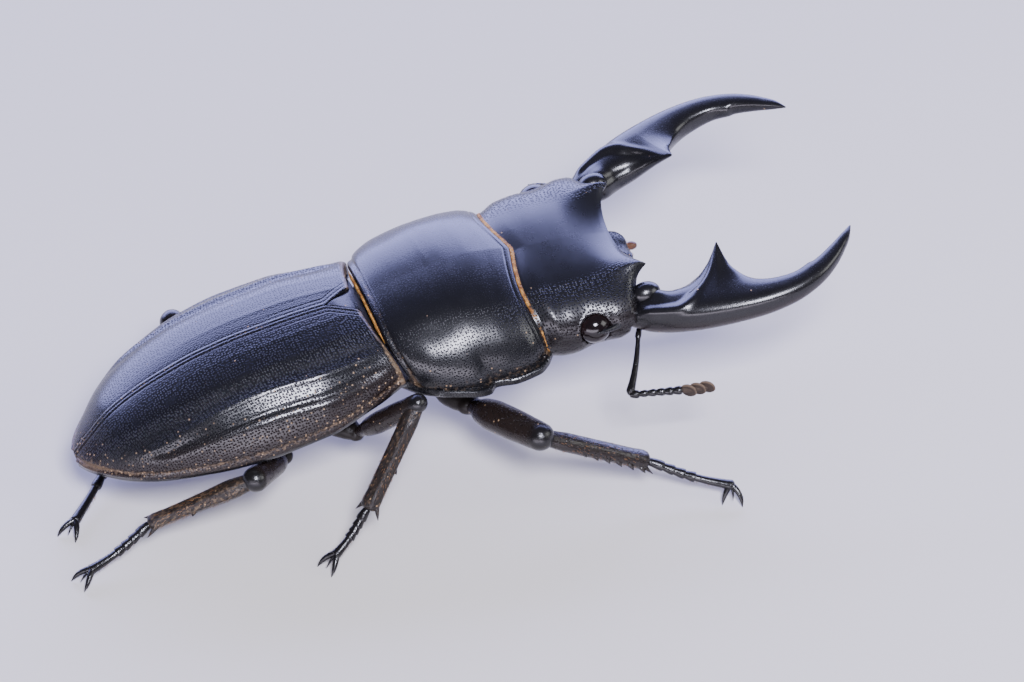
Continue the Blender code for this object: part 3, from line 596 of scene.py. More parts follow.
class Value:
    """One number of a shader, with which Python expressions add Math nodes."""

    def __init__(self, graph: "Graph", socket: bpy.types.NodeSocket) -> None:
        """Wraps a socket of the graph."""
        self.graph = graph
        self.socket = socket

    def _math(self, operation: str, first: object, second: object = None, **more: object) -> "Value":
        """A Math node on one or two inputs, with any other setting given by name."""
        values = {0: first}
        if second is not None:
            values[1] = second
        outputs = self.graph.node("ShaderNodeMath", {"operation": operation, **more}, values)
        return Value(self.graph, outputs[0])

    def __add__(self, other: object) -> "Value":
        """self + other."""
        return self._math("ADD", self, other)

    def __radd__(self, other: object) -> "Value":
        """other + self."""
        return self._math("ADD", other, self)

    def __sub__(self, other: object) -> "Value":
        """self - other."""
        return self._math("SUBTRACT", self, other)

    def __rsub__(self, other: object) -> "Value":
        """other - self."""
        return self._math("SUBTRACT", other, self)

    def __mul__(self, other: object) -> "Value":
        """self * other."""
        return self._math("MULTIPLY", self, other)

    def __gt__(self, other: object) -> "Value":
        """1 where self is more than other, else 0."""
        return self._math("GREATER_THAN", self, other)

    def clamped(self) -> "Value":
        """The value held between 0 and 1."""
        return self._math("ADD", self, 0.0, use_clamp=True)

    def smooth(self, low: float, high: float) -> "Value":
        """0 below low, 1 above high and a smooth step between; low above high falls instead."""
        settings = {"interpolation_type": "SMOOTHSTEP"}
        ordered = low < high
        values = {"Value": self, "From Min": min(low, high), "From Max": max(low, high),
                  "To Min": 0.0 if ordered else 1.0, "To Max": 1.0 if ordered else 0.0}
        return Value(self.graph, self.graph.node("ShaderNodeMapRange", settings, values)[0])


class Scatter(Enum):
    """Whether points are scattered over the skin laid flat or through the whole block."""

    SKIN = "skin"
    BLOCK = "block"


class Graph:
    """The node tree of one material."""

    def __init__(self, name: str) -> None:
        """Starts a material with a bare Principled shader."""
        self.material = bpy.data.materials.new(name)
        self.material.use_nodes = True
        self.tree = self.material.node_tree
        self.shader = self.tree.nodes["Principled BSDF"]
        self.place = self.node("ShaderNodeTexCoord", {}, {})["Object"]

    def node(self, kind: str, settings: dict, values: dict) -> bpy.types.bpy_prop_collection:
        """Adds one node.

        Args:
            kind: the node's type.
            settings: its own properties, set first.
            values: numbers, colours or links for its input sockets, by name or number.

        Returns:
            The node's outputs.
        """
        made = self.tree.nodes.new(kind)
        for key, value in settings.items():
            setattr(made, key, value)
        for key, value in values.items():
            self.feed(made.inputs[key], value)
        return made.outputs

    def feed(self, socket: bpy.types.NodeSocket, value: object) -> None:
        """Links a value, socket or colour to an input, or sets its number."""
        if isinstance(value, Value):
            value = value.socket
        if isinstance(value, bpy.types.NodeSocket):
            self.tree.links.new(value, socket)
        else:
            socket.default_value = value

    def constants(self, **values: object) -> None:
        """Sets numbers on the shader's own sockets, named with _ for a space."""
        for name, value in values.items():
            self.shader.inputs[name.replace("_", " ")].default_value = value

    def varying(self, **links: object) -> None:
        """Links what changes over the surface to the shader's sockets."""
        for name, value in links.items():
            self.feed(self.shader.inputs[name.replace("_", " ")], value)

    def mask(self, name: str) -> Value:
        """A mask that the mesh holds."""
        return Value(self, self.node("ShaderNodeAttribute", {"attribute_name": name}, {})["Fac"])

    def skin(self) -> bpy.types.NodeSocket:
        """Places on the skin laid flat."""
        return self.node("ShaderNodeUVMap", {"uv_map": SKIN_MAP}, {})["UV"]

    def noise(self, size_mm: float, detail: float = 3.0) -> Value:
        """Soft noise of about 0 to 1, with lumps of the given size."""
        values = {"Vector": self.place, "Scale": 1 / (size_mm * MM), "Detail": detail,
                  "Roughness": 0.55}
        return Value(self, self.node("ShaderNodeTexNoise", {}, values)["Fac"])

    def cells(self, size_mm: float, randomness: float = 1.0,
              scatter: Scatter = Scatter.BLOCK) -> tuple[Value, bpy.types.NodeSocket]:
        """Distance to the nearest of scattered points, and a random colour for each of them.

        Args:
            size_mm: how far apart the points lie.
            randomness: how far they stray from an even grid.
            scatter: what they are scattered over.

        Returns:
            The distance, in spacings, and the colour.
        """
        flat = scatter is Scatter.SKIN
        values = {"Vector": self.skin() if flat else self.place, "Scale": 1 / (size_mm * MM),
                  "Randomness": randomness}
        settings = {"voronoi_dimensions": "2D"} if flat else {}
        outputs = self.node("ShaderNodeTexVoronoi", settings, values)
        return Value(self, outputs["Distance"]), outputs["Color"]

    def streaks(self, size_mm: float, longer: float) -> Value:
        """Noise over the skin laid flat, that many times longer down its columns."""
        stretch = {"Vector": self.skin(), "Scale": (1 / longer, 1.0, 1.0)}
        drawn = self.node("ShaderNodeMapping", {}, stretch)["Vector"]
        values = {"Vector": drawn, "Scale": 1 / (size_mm * MM), "Detail": 3.0}
        return Value(self, self.node("ShaderNodeTexNoise", {"noise_dimensions": "2D"}, values)["Fac"])

    def mixed(self, share: object, first: object, second: object) -> bpy.types.NodeSocket:
        """A colour between two colours."""
        settings = {"data_type": "RGBA"}
        return self.node("ShaderNodeMix", settings, {"Factor": share, 6: first, 7: second})[2]

    def bump(self, height: Value, distance_mm: float,
             under: bpy.types.NodeSocket | None = None) -> bpy.types.NodeSocket:
        """Normals tilted by a height of 0 to 1 that stands for a distance."""
        values = {"Height": height, "Distance": distance_mm * MM}
        if under is not None:
            values["Normal"] = under
        return self.node("ShaderNodeBump", {}, values)["Normal"]


def rgb(red: float, green: float, blue: float) -> Colour:
    """An opaque colour."""
    return (red, green, blue, 1.0)


@dataclass(frozen=True)
class Finish:
    """What a piece is covered with; each kind builds its own graph once."""

    name: str

    def material(self) -> bpy.types.Material:
        """The material, made at the first call."""
        found = bpy.data.materials.get(self.name)
        return found if found else self.paint(Graph(self.name))

    def paint(self, graph: Graph) -> bpy.types.Material:
        """Lays the finish into the graph."""
        raise NotImplementedError


@dataclass(frozen=True)
class Chitin(Finish):
    """Satin black cuticle with pits, fine grain, wrinkles, dust in its corners and specks.

    The mesh's masks say where the pits are deep, where wrinkles run, where dust lies and where
    the black turns to brown. A pit's floor is made metallic, and with its black colour it gives
    back next to no gloss: a painted shade in each pit, so that pits show dark in a highlight.
    Specks lie on a small share of a coarse scatter's points, and on more of them where there is
    dust.
    """

    colour: Colour = rgb(0.0042, 0.0043, 0.0058)
    warm: Colour = rgb(0.018, 0.010, 0.008)
    dust: Colour = rgb(0.29, 0.19, 0.105)
    roughness: float = 0.30
    pit_mm: float = 0.34
    pit_depth_mm: float = 0.030
    pit_share: float = 0.30
    grain_mm: float = 0.09
    grain_depth_mm: float = 0.010
    wrinkle_mm: float = 0.16
    wrinkle_depth_mm: float = 0.035
    speck_mm: float = 0.36
    speck_share: float = 0.02
    dust_specks: float = 0.36
    pit_roughness: float = 0.12
    # How far pit floors are made metallic black: painted shade in the pits.
    pit_painted_shade: float = 0.85
    gloss: float = 0.5
    pit_jitter: float = 0.8
    scatter: Scatter = Scatter.BLOCK

    def paint(self, graph: Graph) -> bpy.types.Material:
        """Pits are dents round scattered points; dust is brown where its mask beats a noise."""
        pits, dusty, brown = graph.mask("pits"), graph.mask("dust"), graph.mask("brown")
        wrinkled = graph.mask("wrinkles")
        distance, _ = graph.cells(self.pit_mm, self.pit_jitter, self.scatter)
        pit = distance.smooth(self.pit_share, self.pit_share * 0.5) * pits
        grain, _ = graph.cells(self.grain_mm)
        wrinkle = graph.streaks(self.wrinkle_mm, 6.0)
        cloud = graph.noise(1.4)
        ragged = (graph.noise(0.30, 5.0) - 0.5) * 1.6 * dusty.smooth(0.0, 0.3)
        settled = (dusty + ragged).smooth(0.45, 0.95)
        away, colours = graph.cells(self.speck_mm)
        chance = Value(graph, graph.node("ShaderNodeSeparateColor", {}, {"Color": colours})[0])
        speckled = chance > 1 - self.speck_share * 0.6 - dusty * self.dust_specks
        speck = (away + (cloud - 0.5) * 0.2).smooth(0.25, 0.12) * speckled
        in_wrinkles = wrinkle * wrinkled * 2.4 + (1 - wrinkled)
        tan = (settled * 0.25 * in_wrinkles + speck * 0.85).clamped()
        body = graph.mixed((brown + (cloud - 0.5) * 0.3 * brown).clamped(), self.colour, self.warm)
        rough = self.roughness + pit * self.pit_roughness + (cloud - 0.5) * 0.10 + tan * 0.45
        under = graph.bump(wrinkle * wrinkled, self.wrinkle_depth_mm,
                           under=graph.bump(grain, self.grain_depth_mm))
        graph.varying(
            Base_Color=graph.mixed(tan, body, self.dust),
            Roughness=rough.clamped(),
            # Metallic black on pit floors: painted shade in the pits, dark in any highlight.
            Metallic=(pit * (1 - tan) * self.pit_painted_shade).clamped(),
            Normal=graph.bump(1 - pit, self.pit_depth_mm, under=under),
        )
        graph.constants(Specular_IOR_Level=self.gloss)
        return graph.material


@dataclass(frozen=True)
class EyeGloss(Finish):
    """Very dark red-brown lens surface of fine close facets under a clear gloss."""

    colour: Colour = rgb(0.0045, 0.0028, 0.0032)
    glow: Colour = rgb(0.010, 0.0045, 0.0045)
    facet_mm: float = 0.045

    def paint(self, graph: Graph) -> bpy.types.Material:
        """Facets are round-topped cells; a soft noise makes the black a little red in places."""
        distance, _ = graph.cells(self.facet_mm, 0.25)
        graph.varying(
            Base_Color=graph.mixed(graph.noise(1.2).smooth(0.4, 0.7), self.colour, self.glow),
            Normal=graph.bump(1 - distance, 0.002),
        )
        graph.constants(Roughness=0.12, Specular_IOR_Level=0.45)
        return graph.material


@dataclass(frozen=True)
class Velvet(Finish):
    """Matt, finely haired skin, as on the feeler's club."""

    colour: Colour = rgb(0.024, 0.016, 0.012)
    pale: Colour = rgb(0.095, 0.066, 0.044)

    def paint(self, graph: Graph) -> bpy.types.Material:
        """Fine noise between two browns, paler where the pale mask says."""
        down = graph.noise(0.05, 4.0)
        paleness = (graph.mask("pale") + down * 0.5 - 0.2).clamped()
        graph.varying(
            Base_Color=graph.mixed(paleness, self.colour, self.pale),
            Normal=graph.bump(down, 0.02),
        )
        graph.constants(Roughness=0.85, Specular_IOR_Level=0.3)
        return graph.material


@dataclass(frozen=True)
class Bristle(Finish):
    """Hair, whose colour varies a little from tuft to tuft."""

    dark: Colour = rgb(0.20, 0.075, 0.014)
    light: Colour = rgb(0.52, 0.27, 0.060)

    def paint(self, graph: Graph) -> bpy.types.Material:
        """Between the dark and the light colour by a soft noise."""
        share = graph.noise(0.4).smooth(0.3, 0.7)
        graph.varying(Base_Color=graph.mixed(share, self.dark, self.light))
        graph.constants(Roughness=0.55)
        return graph.material


@dataclass(frozen=True)
class PaleFloor(Finish):
    """Plain matt floor."""

    colour: Colour = rgb(0.53, 0.505, 0.47)
    shade: Colour = rgb(0.49, 0.465, 0.43)

    def paint(self, graph: Graph) -> bpy.types.Material:
        """Nearly even, with a trace of noise."""
        graph.varying(Base_Color=graph.mixed(graph.noise(40.0) * 0.15, self.colour, self.shade))
        graph.constants(Roughness=0.8)
        return graph.material


WING_CASE = Chitin("wing_case_black", roughness=0.24, pit_mm=0.25, pit_depth_mm=0.030, pit_share=0.38,
                   pit_jitter=0.55, grain_mm=0.11, grain_depth_mm=0.002, wrinkle_depth_mm=0.012,
                   speck_share=0.016, dust_specks=1.9, scatter=Scatter.SKIN)
SHIELD = Chitin("neck_shield_black", roughness=0.26, pit_mm=0.24, pit_depth_mm=0.022, pit_share=0.32,
                pit_jitter=0.65, grain_depth_mm=0.002, speck_share=0.012, scatter=Scatter.SKIN)
HEAD_BLACK = Chitin("head_black", roughness=0.28, pit_mm=0.29, pit_depth_mm=0.035, pit_share=0.34,
                    pit_jitter=0.65, grain_depth_mm=0.002, speck_share=0.012, scatter=Scatter.SKIN)
JAW = Chitin("mandible_black", colour=rgb(0.0042, 0.0040, 0.0050), warm=rgb(0.012, 0.007, 0.007),
             roughness=0.26, pit_mm=0.20, pit_depth_mm=0.003, pit_painted_shade=0.35, grain_mm=0.10,
             grain_depth_mm=0.0025, speck_share=0.004)
BELLY = Chitin("belly_brown", colour=rgb(0.009, 0.007, 0.006), roughness=0.36, gloss=0.22)
LEG_BLACK = Chitin("leg_black", colour=rgb(0.0050, 0.0045, 0.0048), warm=rgb(0.014, 0.009, 0.007),
                   roughness=0.23, gloss=0.42, pit_mm=0.26, pit_depth_mm=0.030, pit_share=0.36,
                   speck_share=0.015)
SHIN = Chitin("shin_black", colour=rgb(0.0055, 0.0048, 0.0048), warm=rgb(0.014, 0.010, 0.008),
              roughness=0.33, gloss=0.32, pit_mm=0.24, pit_depth_mm=0.020, pit_share=0.36,
              wrinkle_mm=0.14, wrinkle_depth_mm=0.05, speck_share=0.02)
PALP = Chitin("palp_brown", colour=rgb(0.075, 0.028, 0.012), warm=rgb(0.15, 0.06, 0.022),
              roughness=0.3, speck_share=0.0)
EYE = EyeGloss("eye_gloss")
CLUB = Velvet("club_velvet")
GOLD_HAIR = Bristle("golden_hair")
RUST_HAIR = Bristle("rust_hair", dark=rgb(0.12, 0.050, 0.018), light=rgb(0.36, 0.17, 0.055))
FLOOR = PaleFloor("pale_floor")


CASE_X = (-2.3, -4.0, -8.0, -12.0, -16.0, -19.0, -22.0, -24.5, -26.5, -27.7, -28.2)
SHIELD_AT = (0.0, 0.1, 0.25, 0.43, 0.47, 0.53, 0.7, 0.86, 0.95, 1.0)
HEAD_X = (12.3, 13.4, 14.8, 16.2, 17.4, 18.5, 19.3, 19.9, 20.35)
JAW_X = (19.6, 20.4, 22.5, 25.0, 28.0, 31.0, 33.8, 36.2, 38.0, 39.1, 39.7)
JAW_SIZE_X = (19.6, 20.4, 21.2, 22.5, 25.0, 28.0, 31.0, 33.8, 36.2, 38.0, 39.1, 39.7)


@dataclass(frozen=True)
class WingCases:
    """The two wing cases and the small triangle between their bases."""

    half_width: Profile = Profile(CASE_X, (7.55, 8.1, 9.15, 9.2, 8.75, 7.95, 6.8, 5.3, 3.4, 1.9, 0.8))
    seam_z: Profile = Profile(CASE_X, (4.15, 4.35, 4.55, 4.5, 4.1, 3.4, 2.4, 1.1, -0.6, -1.7, -2.2))
    rim_z: Profile = Profile(CASE_X, (0.1, -0.45, -0.8, -1.0, -1.2, -1.4, -1.7, -2.0, -2.3, -2.5, -2.6))
    inner_rib: Profile = Profile((-23.0, -18.2, -12.8, -7.4, -3.0), (0.85, 0.73, 0.66, 0.70, 0.76))
    outer_rib: Profile = Profile((-21.0, -17.0, -12.7, -7.4, -2.6), (0.93, 0.885, 0.875, 0.91, 0.955))
    base_x: float = -2.1
    tip_x: float = -28.2
    notch_x: float = -4.6
    notch_half: float = 1.5
    seam_half: float = 0.045
    wall: float = 0.75
    shoulder_lead: float = 1.5
    shoulder_y: float = 7.5
    lead_fade: float = 5.0
    rows: int = 300
    columns: int = 150

    def top(self, x: ArrayLike, y: ArrayLike) -> Array:
        """Outer height: rim height plus the crown's rise times the arch of y over half width."""
        rim = self.rim_z(x)
        return rim + (self.seam_z(x) - rim) * arch(np.asarray(y) / self.half_width(x))

    def steepness(self, x: Array, y: Array) -> Array:
        """How much taller than a flat wall's a sloping wall's upright is, 1.8 at the most."""
        step = 0.05
        lean = np.abs(self.top(x, np.abs(y) + step) - self.top(x, np.abs(y))) / step
        return np.minimum(np.sqrt(1 + lean**2), 1.8)

    def notch(self, x: ArrayLike) -> Array:
        """Half width of the triangular notch at the base of the seam."""
        run = np.clip((np.asarray(x, float) - self.notch_x) / (self.base_x - self.notch_x), 0, None)
        return self.notch_half * run

    def lead(self, x: Array, y: Array) -> Array:
        """How far the base edge is carried forward towards the shoulder."""
        fade = rolled(self.base_x - x, self.lead_fade)
        return self.shoulder_lead * np.clip(np.abs(y) / self.shoulder_y, 0, 1) ** 2 * fade

    def relief(self, x: Array, y: Array, share: Array, to_rim: Array) -> Array:
        """Height of the ribs, the seam's bead and grooves, the rim's bead and the rolled base.

        Args:
            x: place along the body.
            y: distance from the middle plane.
            share: y as a share of the half width.
            to_rim: distance along the section to the outer rim.

        Returns:
            Millimetres above the plain dome.
        """
        from_seam = y - self.notch(x)
        ends = smooth(-24.5, -21.5, x) * smooth(-2.2, -4.0, x)
        half = self.half_width(x)
        rib_width = 0.36 / half
        inner, outer = self.inner_rib(x), self.outer_rib(x)
        ribs = 0.15 * bell(share, inner, rib_width) + 0.13 * bell(share, outer, rib_width)
        troughs = 0.05 * bell(share, inner - 0.085, rib_width * 1.3)
        troughs = troughs + 0.07 * bell(share, outer - 0.055, rib_width * 0.6)
        faint = 0.022 * (bell(share, 0.22, 0.03) + bell(share, 0.45, 0.03)) * smooth(-22, -8, x)
        seam = 0.035 * bell(from_seam, 0.17, 0.15) - 0.018 * bell(from_seam, 0.40, 0.08)
        second = -0.022 * bell(from_seam, 0.80, 0.08) * smooth(-12.0, -7.0, x)
        rim = 0.13 * bell(to_rim, 0.18, 0.17) - 0.10 * bell(to_rim, 0.58, 0.16)
        base = -0.22 * rolled(self.base_x - x, 0.35)
        return (ribs - troughs + faint) * ends + seam + second + rim + base

    def shell(self, side: str) -> Sheet:
        """One wing case: out over the dome, round the rim and back under the wall.

        Args:
            side: right or left.

        Returns:
            The closed shell, its sections running from the base to the tip.
        """
        quarter = np.pi / 2
        run = np.sin(np.linspace(0, quarter, self.rows))
        run = 0.35 * run + 0.65 * np.linspace(0, 1, self.rows)
        x = (self.base_x + (self.tip_x - self.base_x) * run)[:, None]
        across = np.sin(np.linspace(0, quarter, self.columns))[None]
        across = 0.5 * across + 0.5 * np.linspace(0, 1, self.columns)[None]
        half = self.half_width(x)
        start = self.seam_half + self.notch(x) + 0.02 * smooth(self.notch_x, self.notch_x + 0.3, x)
        y = start + (half - start) * across
        over = grid(x, y, self.top(x, y))
        steps = np.linalg.norm(np.diff(over, axis=1), axis=-1)
        to_rim = np.cumsum(steps[:, ::-1], axis=1)[:, ::-1]
        to_rim = np.concatenate([to_rim, np.zeros((len(x), 1))], axis=1)
        wide = np.broadcast_to(x, y.shape)
        dome = Sheet(over, wrap=False, ends=Ends.OPEN)
        dome.raised(self.relief(wide, y, y / half, to_rim), -1.0)
        wall = np.minimum(self.wall, 0.45 * half)
        inward = np.sin(np.linspace(quarter, 0, 24))[None]
        y_in = start + (half - wall - start) * inward
        z_in = self.top(x, y_in) - self.wall * self.steepness(x, y_in)
        foot = np.minimum(self.rim_z(x) - 0.7, z_in[:, :1] - 0.2)
        turn = np.linspace(0, 1, 8)[None, 1:-1]
        y_edge = half - wall * turn**2.5
        z_edge = self.rim_z(x) + (foot - self.rim_z(x)) * np.sin(turn * np.pi / 2)
        points = np.concatenate([dome.points, grid(x, y_edge, z_edge), grid(x, y_in, z_in)], axis=1)
        points[..., 0] += self.lead(points[..., 0], points[..., 1])
        points[..., 1] *= SIDES[side]
        rest = points.shape[1] - y.shape[1]
        share = y / half
        pits = 0.34 + 0.66 * smooth(0.45, 0.72, share) * smooth(0.0, 0.6, to_rim)
        dust = (0.42 * bell(to_rim, 0.56, 0.20) + 0.42 * smooth(-25.0, -28.0, wide)
                + 0.80 * smooth(self.base_x - 0.45, self.base_x - 0.15, wide)
                + 0.30 * smooth(0.60, 0.98, share) + 0.25 * bell(y - self.notch(x), 0.0, 0.12))
        wrinkles = 0.35 + 0.65 * smooth(0.5, 0.7, share)
        brown = 0.5 * smooth(0.8, 1.0, share) + 0.4 * smooth(-25.0, -28.0, wide)
        tops = {"pits": pits, "dust": dust, "wrinkles": wrinkles, "brown": brown}
        inside = np.zeros((len(x), rest))
        masks = {name: np.concatenate([level, inside], 1) for name, level in tops.items()}
        return Sheet(points, masks, ends=Ends.STRIP)

    def triangle(self) -> Sheet:
        """The scutellum: a low bevelled plate set into the notch."""
        x = np.linspace(self.base_x + 0.1, self.notch_x + 0.25, 60)[:, None]
        share = np.linspace(-1, 1, 41)[None]
        y = share * (self.notch(x) + 0.01)
        drop = 0.03 + 0.10 * np.abs(share) ** 8 + 0.30 * smooth(self.notch_x + 0.6, self.base_x, x)
        top = self.top(x, np.abs(y)) - drop
        over = grid(x, y, top)
        under = over[:, ::-1] + DOWN
        return Sheet(np.concatenate([over, under], 1), even(pits=0.15, dust=0.12), ends=Ends.STRIP)

    def build(self) -> None:
        """Makes both wing cases and the triangle."""
        for side in SIDES:
            name = "elytron_" + side
            Piece(name + "_shell", [self.shell(side)], WING_CASE, (name,), "wing_case").build()
        Piece("scutellum_plate", [self.triangle()], SHIELD, ("scutellum",), "cuticle").build()


@dataclass(frozen=True)
class NeckShield:
    """The pronotum: a dome with a flat beaded rim, and the underside of the fore thorax."""

    half_width: Profile = Profile(SHIELD_AT, (7.5, 9.0, 9.9, 10.6, 10.55, 10.0, 10.35, 10.2, 9.6, 8.9))
    crown_z: Profile = Profile(SHIELD_AT, (3.9, 4.25, 4.6, 4.8, 4.85, 4.85, 4.65, 4.15, 3.75, 3.5))
    rim_z: Profile = Profile(SHIELD_AT, (-0.4, -0.6, -0.8, -1.0, -1.05, -1.1, -1.2, -1.2, -1.1, -1.0))
    dome_half: Profile = Profile(
        (0.0, 0.1, 0.25, 0.45, 0.7, 0.86, 0.95, 1.0), (7.5, 9.0, 9.85, 10.2, 10.3, 10.15, 9.6, 8.9))
    rim_width: float = 0.55
    rim_thick: float = 0.5
    keel_z: float = -4.5
    rear_x: float = -1.25
    front_x: float = 12.0
    columns: int = 240

    def edge_x(self, share: ArrayLike, at: ArrayLike) -> Array:
        """Place along the body between the rear edge's curve and the front edge's curve."""
        s = np.abs(share)
        rear = self.rear_x + 1.5 * s**8
        front = self.front_x - 0.75 * np.sin(np.pi * s**1.1) - 0.15 * s
        return rear * (1 - np.asarray(at)) + front * at

    def dome(self, at: Array, share: Array) -> Array:
        """Height over the shield: rim height plus the crown's rise times an arch inside the rim."""
        half = self.dome_half(at)
        rim = self.rim_z(at)
        return rim + (self.crown_z(at) - rim) * arch(share * half / (half - self.rim_width), 2.6, 1.8)

    def body(self) -> Sheet:
        """The shield: sections run out over the dome and back along the underside.

        Relief: a bead along the side rim, a fine groove inside the front edge, a bead and a
        groove along the rear edge, edges that roll down at the front and rear, and a shallow dent
        on each side of the middle.

        Returns:
            The closed body with its masks.
        """
        at = np.unique(np.concatenate([np.linspace(0, 1, 230), np.linspace(0.44, 0.55, 30),
                                       np.linspace(0, 0.05, 12), np.linspace(0.94, 1, 14)]))[:, None]
        turn = np.linspace(-np.pi / 2, np.pi / 2, self.columns)
        share = (0.6 * np.sin(turn) + 0.4 * np.linspace(-1, 1, self.columns))[None]
        half = self.half_width(at)
        plain = self.dome_half(at)
        y = share * plain + np.sign(share) * (half - plain) * np.abs(share) ** 14
        over = grid(self.edge_x(share, at), y, self.dome(at, share))
        from_side = half * (1 - np.abs(share))
        length = self.edge_x(share, 1.0) - self.edge_x(share, 0.0)
        from_front = (1 - at) * length
        from_rear = at * length
        relief = (
            0.14 * bell(from_side, 0.16, 0.14) - 0.05 * bell(from_side, 0.5, 0.14)
            - 0.055 * bell(from_front, 0.62, 0.09) - 0.16 * rolled(from_front, 0.3)
            + 0.06 * bell(from_rear, 0.28, 0.14) - 0.09 * bell(from_rear, 0.62, 0.14)
            - 0.20 * rolled(from_rear, 0.25)
            - 0.10 * bell(np.abs(share), 0.62, 0.13) * bell(at, 0.3, 0.14)
        )
        dome = Sheet(over, wrap=False, ends=Ends.OPEN)
        dome.raised(relief)
        down = np.sin(np.linspace(np.pi / 2, -np.pi / 2, 60))[None]
        low = self.keel_z + 0.9 * (2 * at - 1) ** 2
        under_z = low + (self.rim_z(at) - self.rim_thick - low) * np.abs(down) ** 1.7
        under = grid(self.edge_x(down, at), down * half, under_z)
        pits = 0.16 + 0.84 * smooth(0.50, 0.78, np.abs(share)) + 0.4 * smooth(0.1, 0.0, at)
        dust = (0.34 * bell(from_side, 0.50, 0.22) + 0.18 * smooth(0.74, 0.98, np.abs(share))
                + 0.5 * bell(from_rear, 0.55, 0.2) + 0.3 * bell(from_front, 0.2, 0.2))
        low_mask = np.full((len(at), down.shape[1]), 0.4)
        shape = (len(at), share.shape[1])
        masks = {"pits": np.concatenate([np.broadcast_to(pits, shape), low_mask], 1),
                 "dust": np.concatenate([np.broadcast_to(dust, shape), low_mask * 0.4], 1)}
        points = np.concatenate([dome.points, under], 1)
        return Sheet(points, masks, ends=Ends.STRIP, spine=self.columns // 2)

    def build(self) -> None:
        """Makes the shield."""
        Piece("pronotum_shield", [self.body()], SHIELD, ("pronotum",), "cuticle").build()


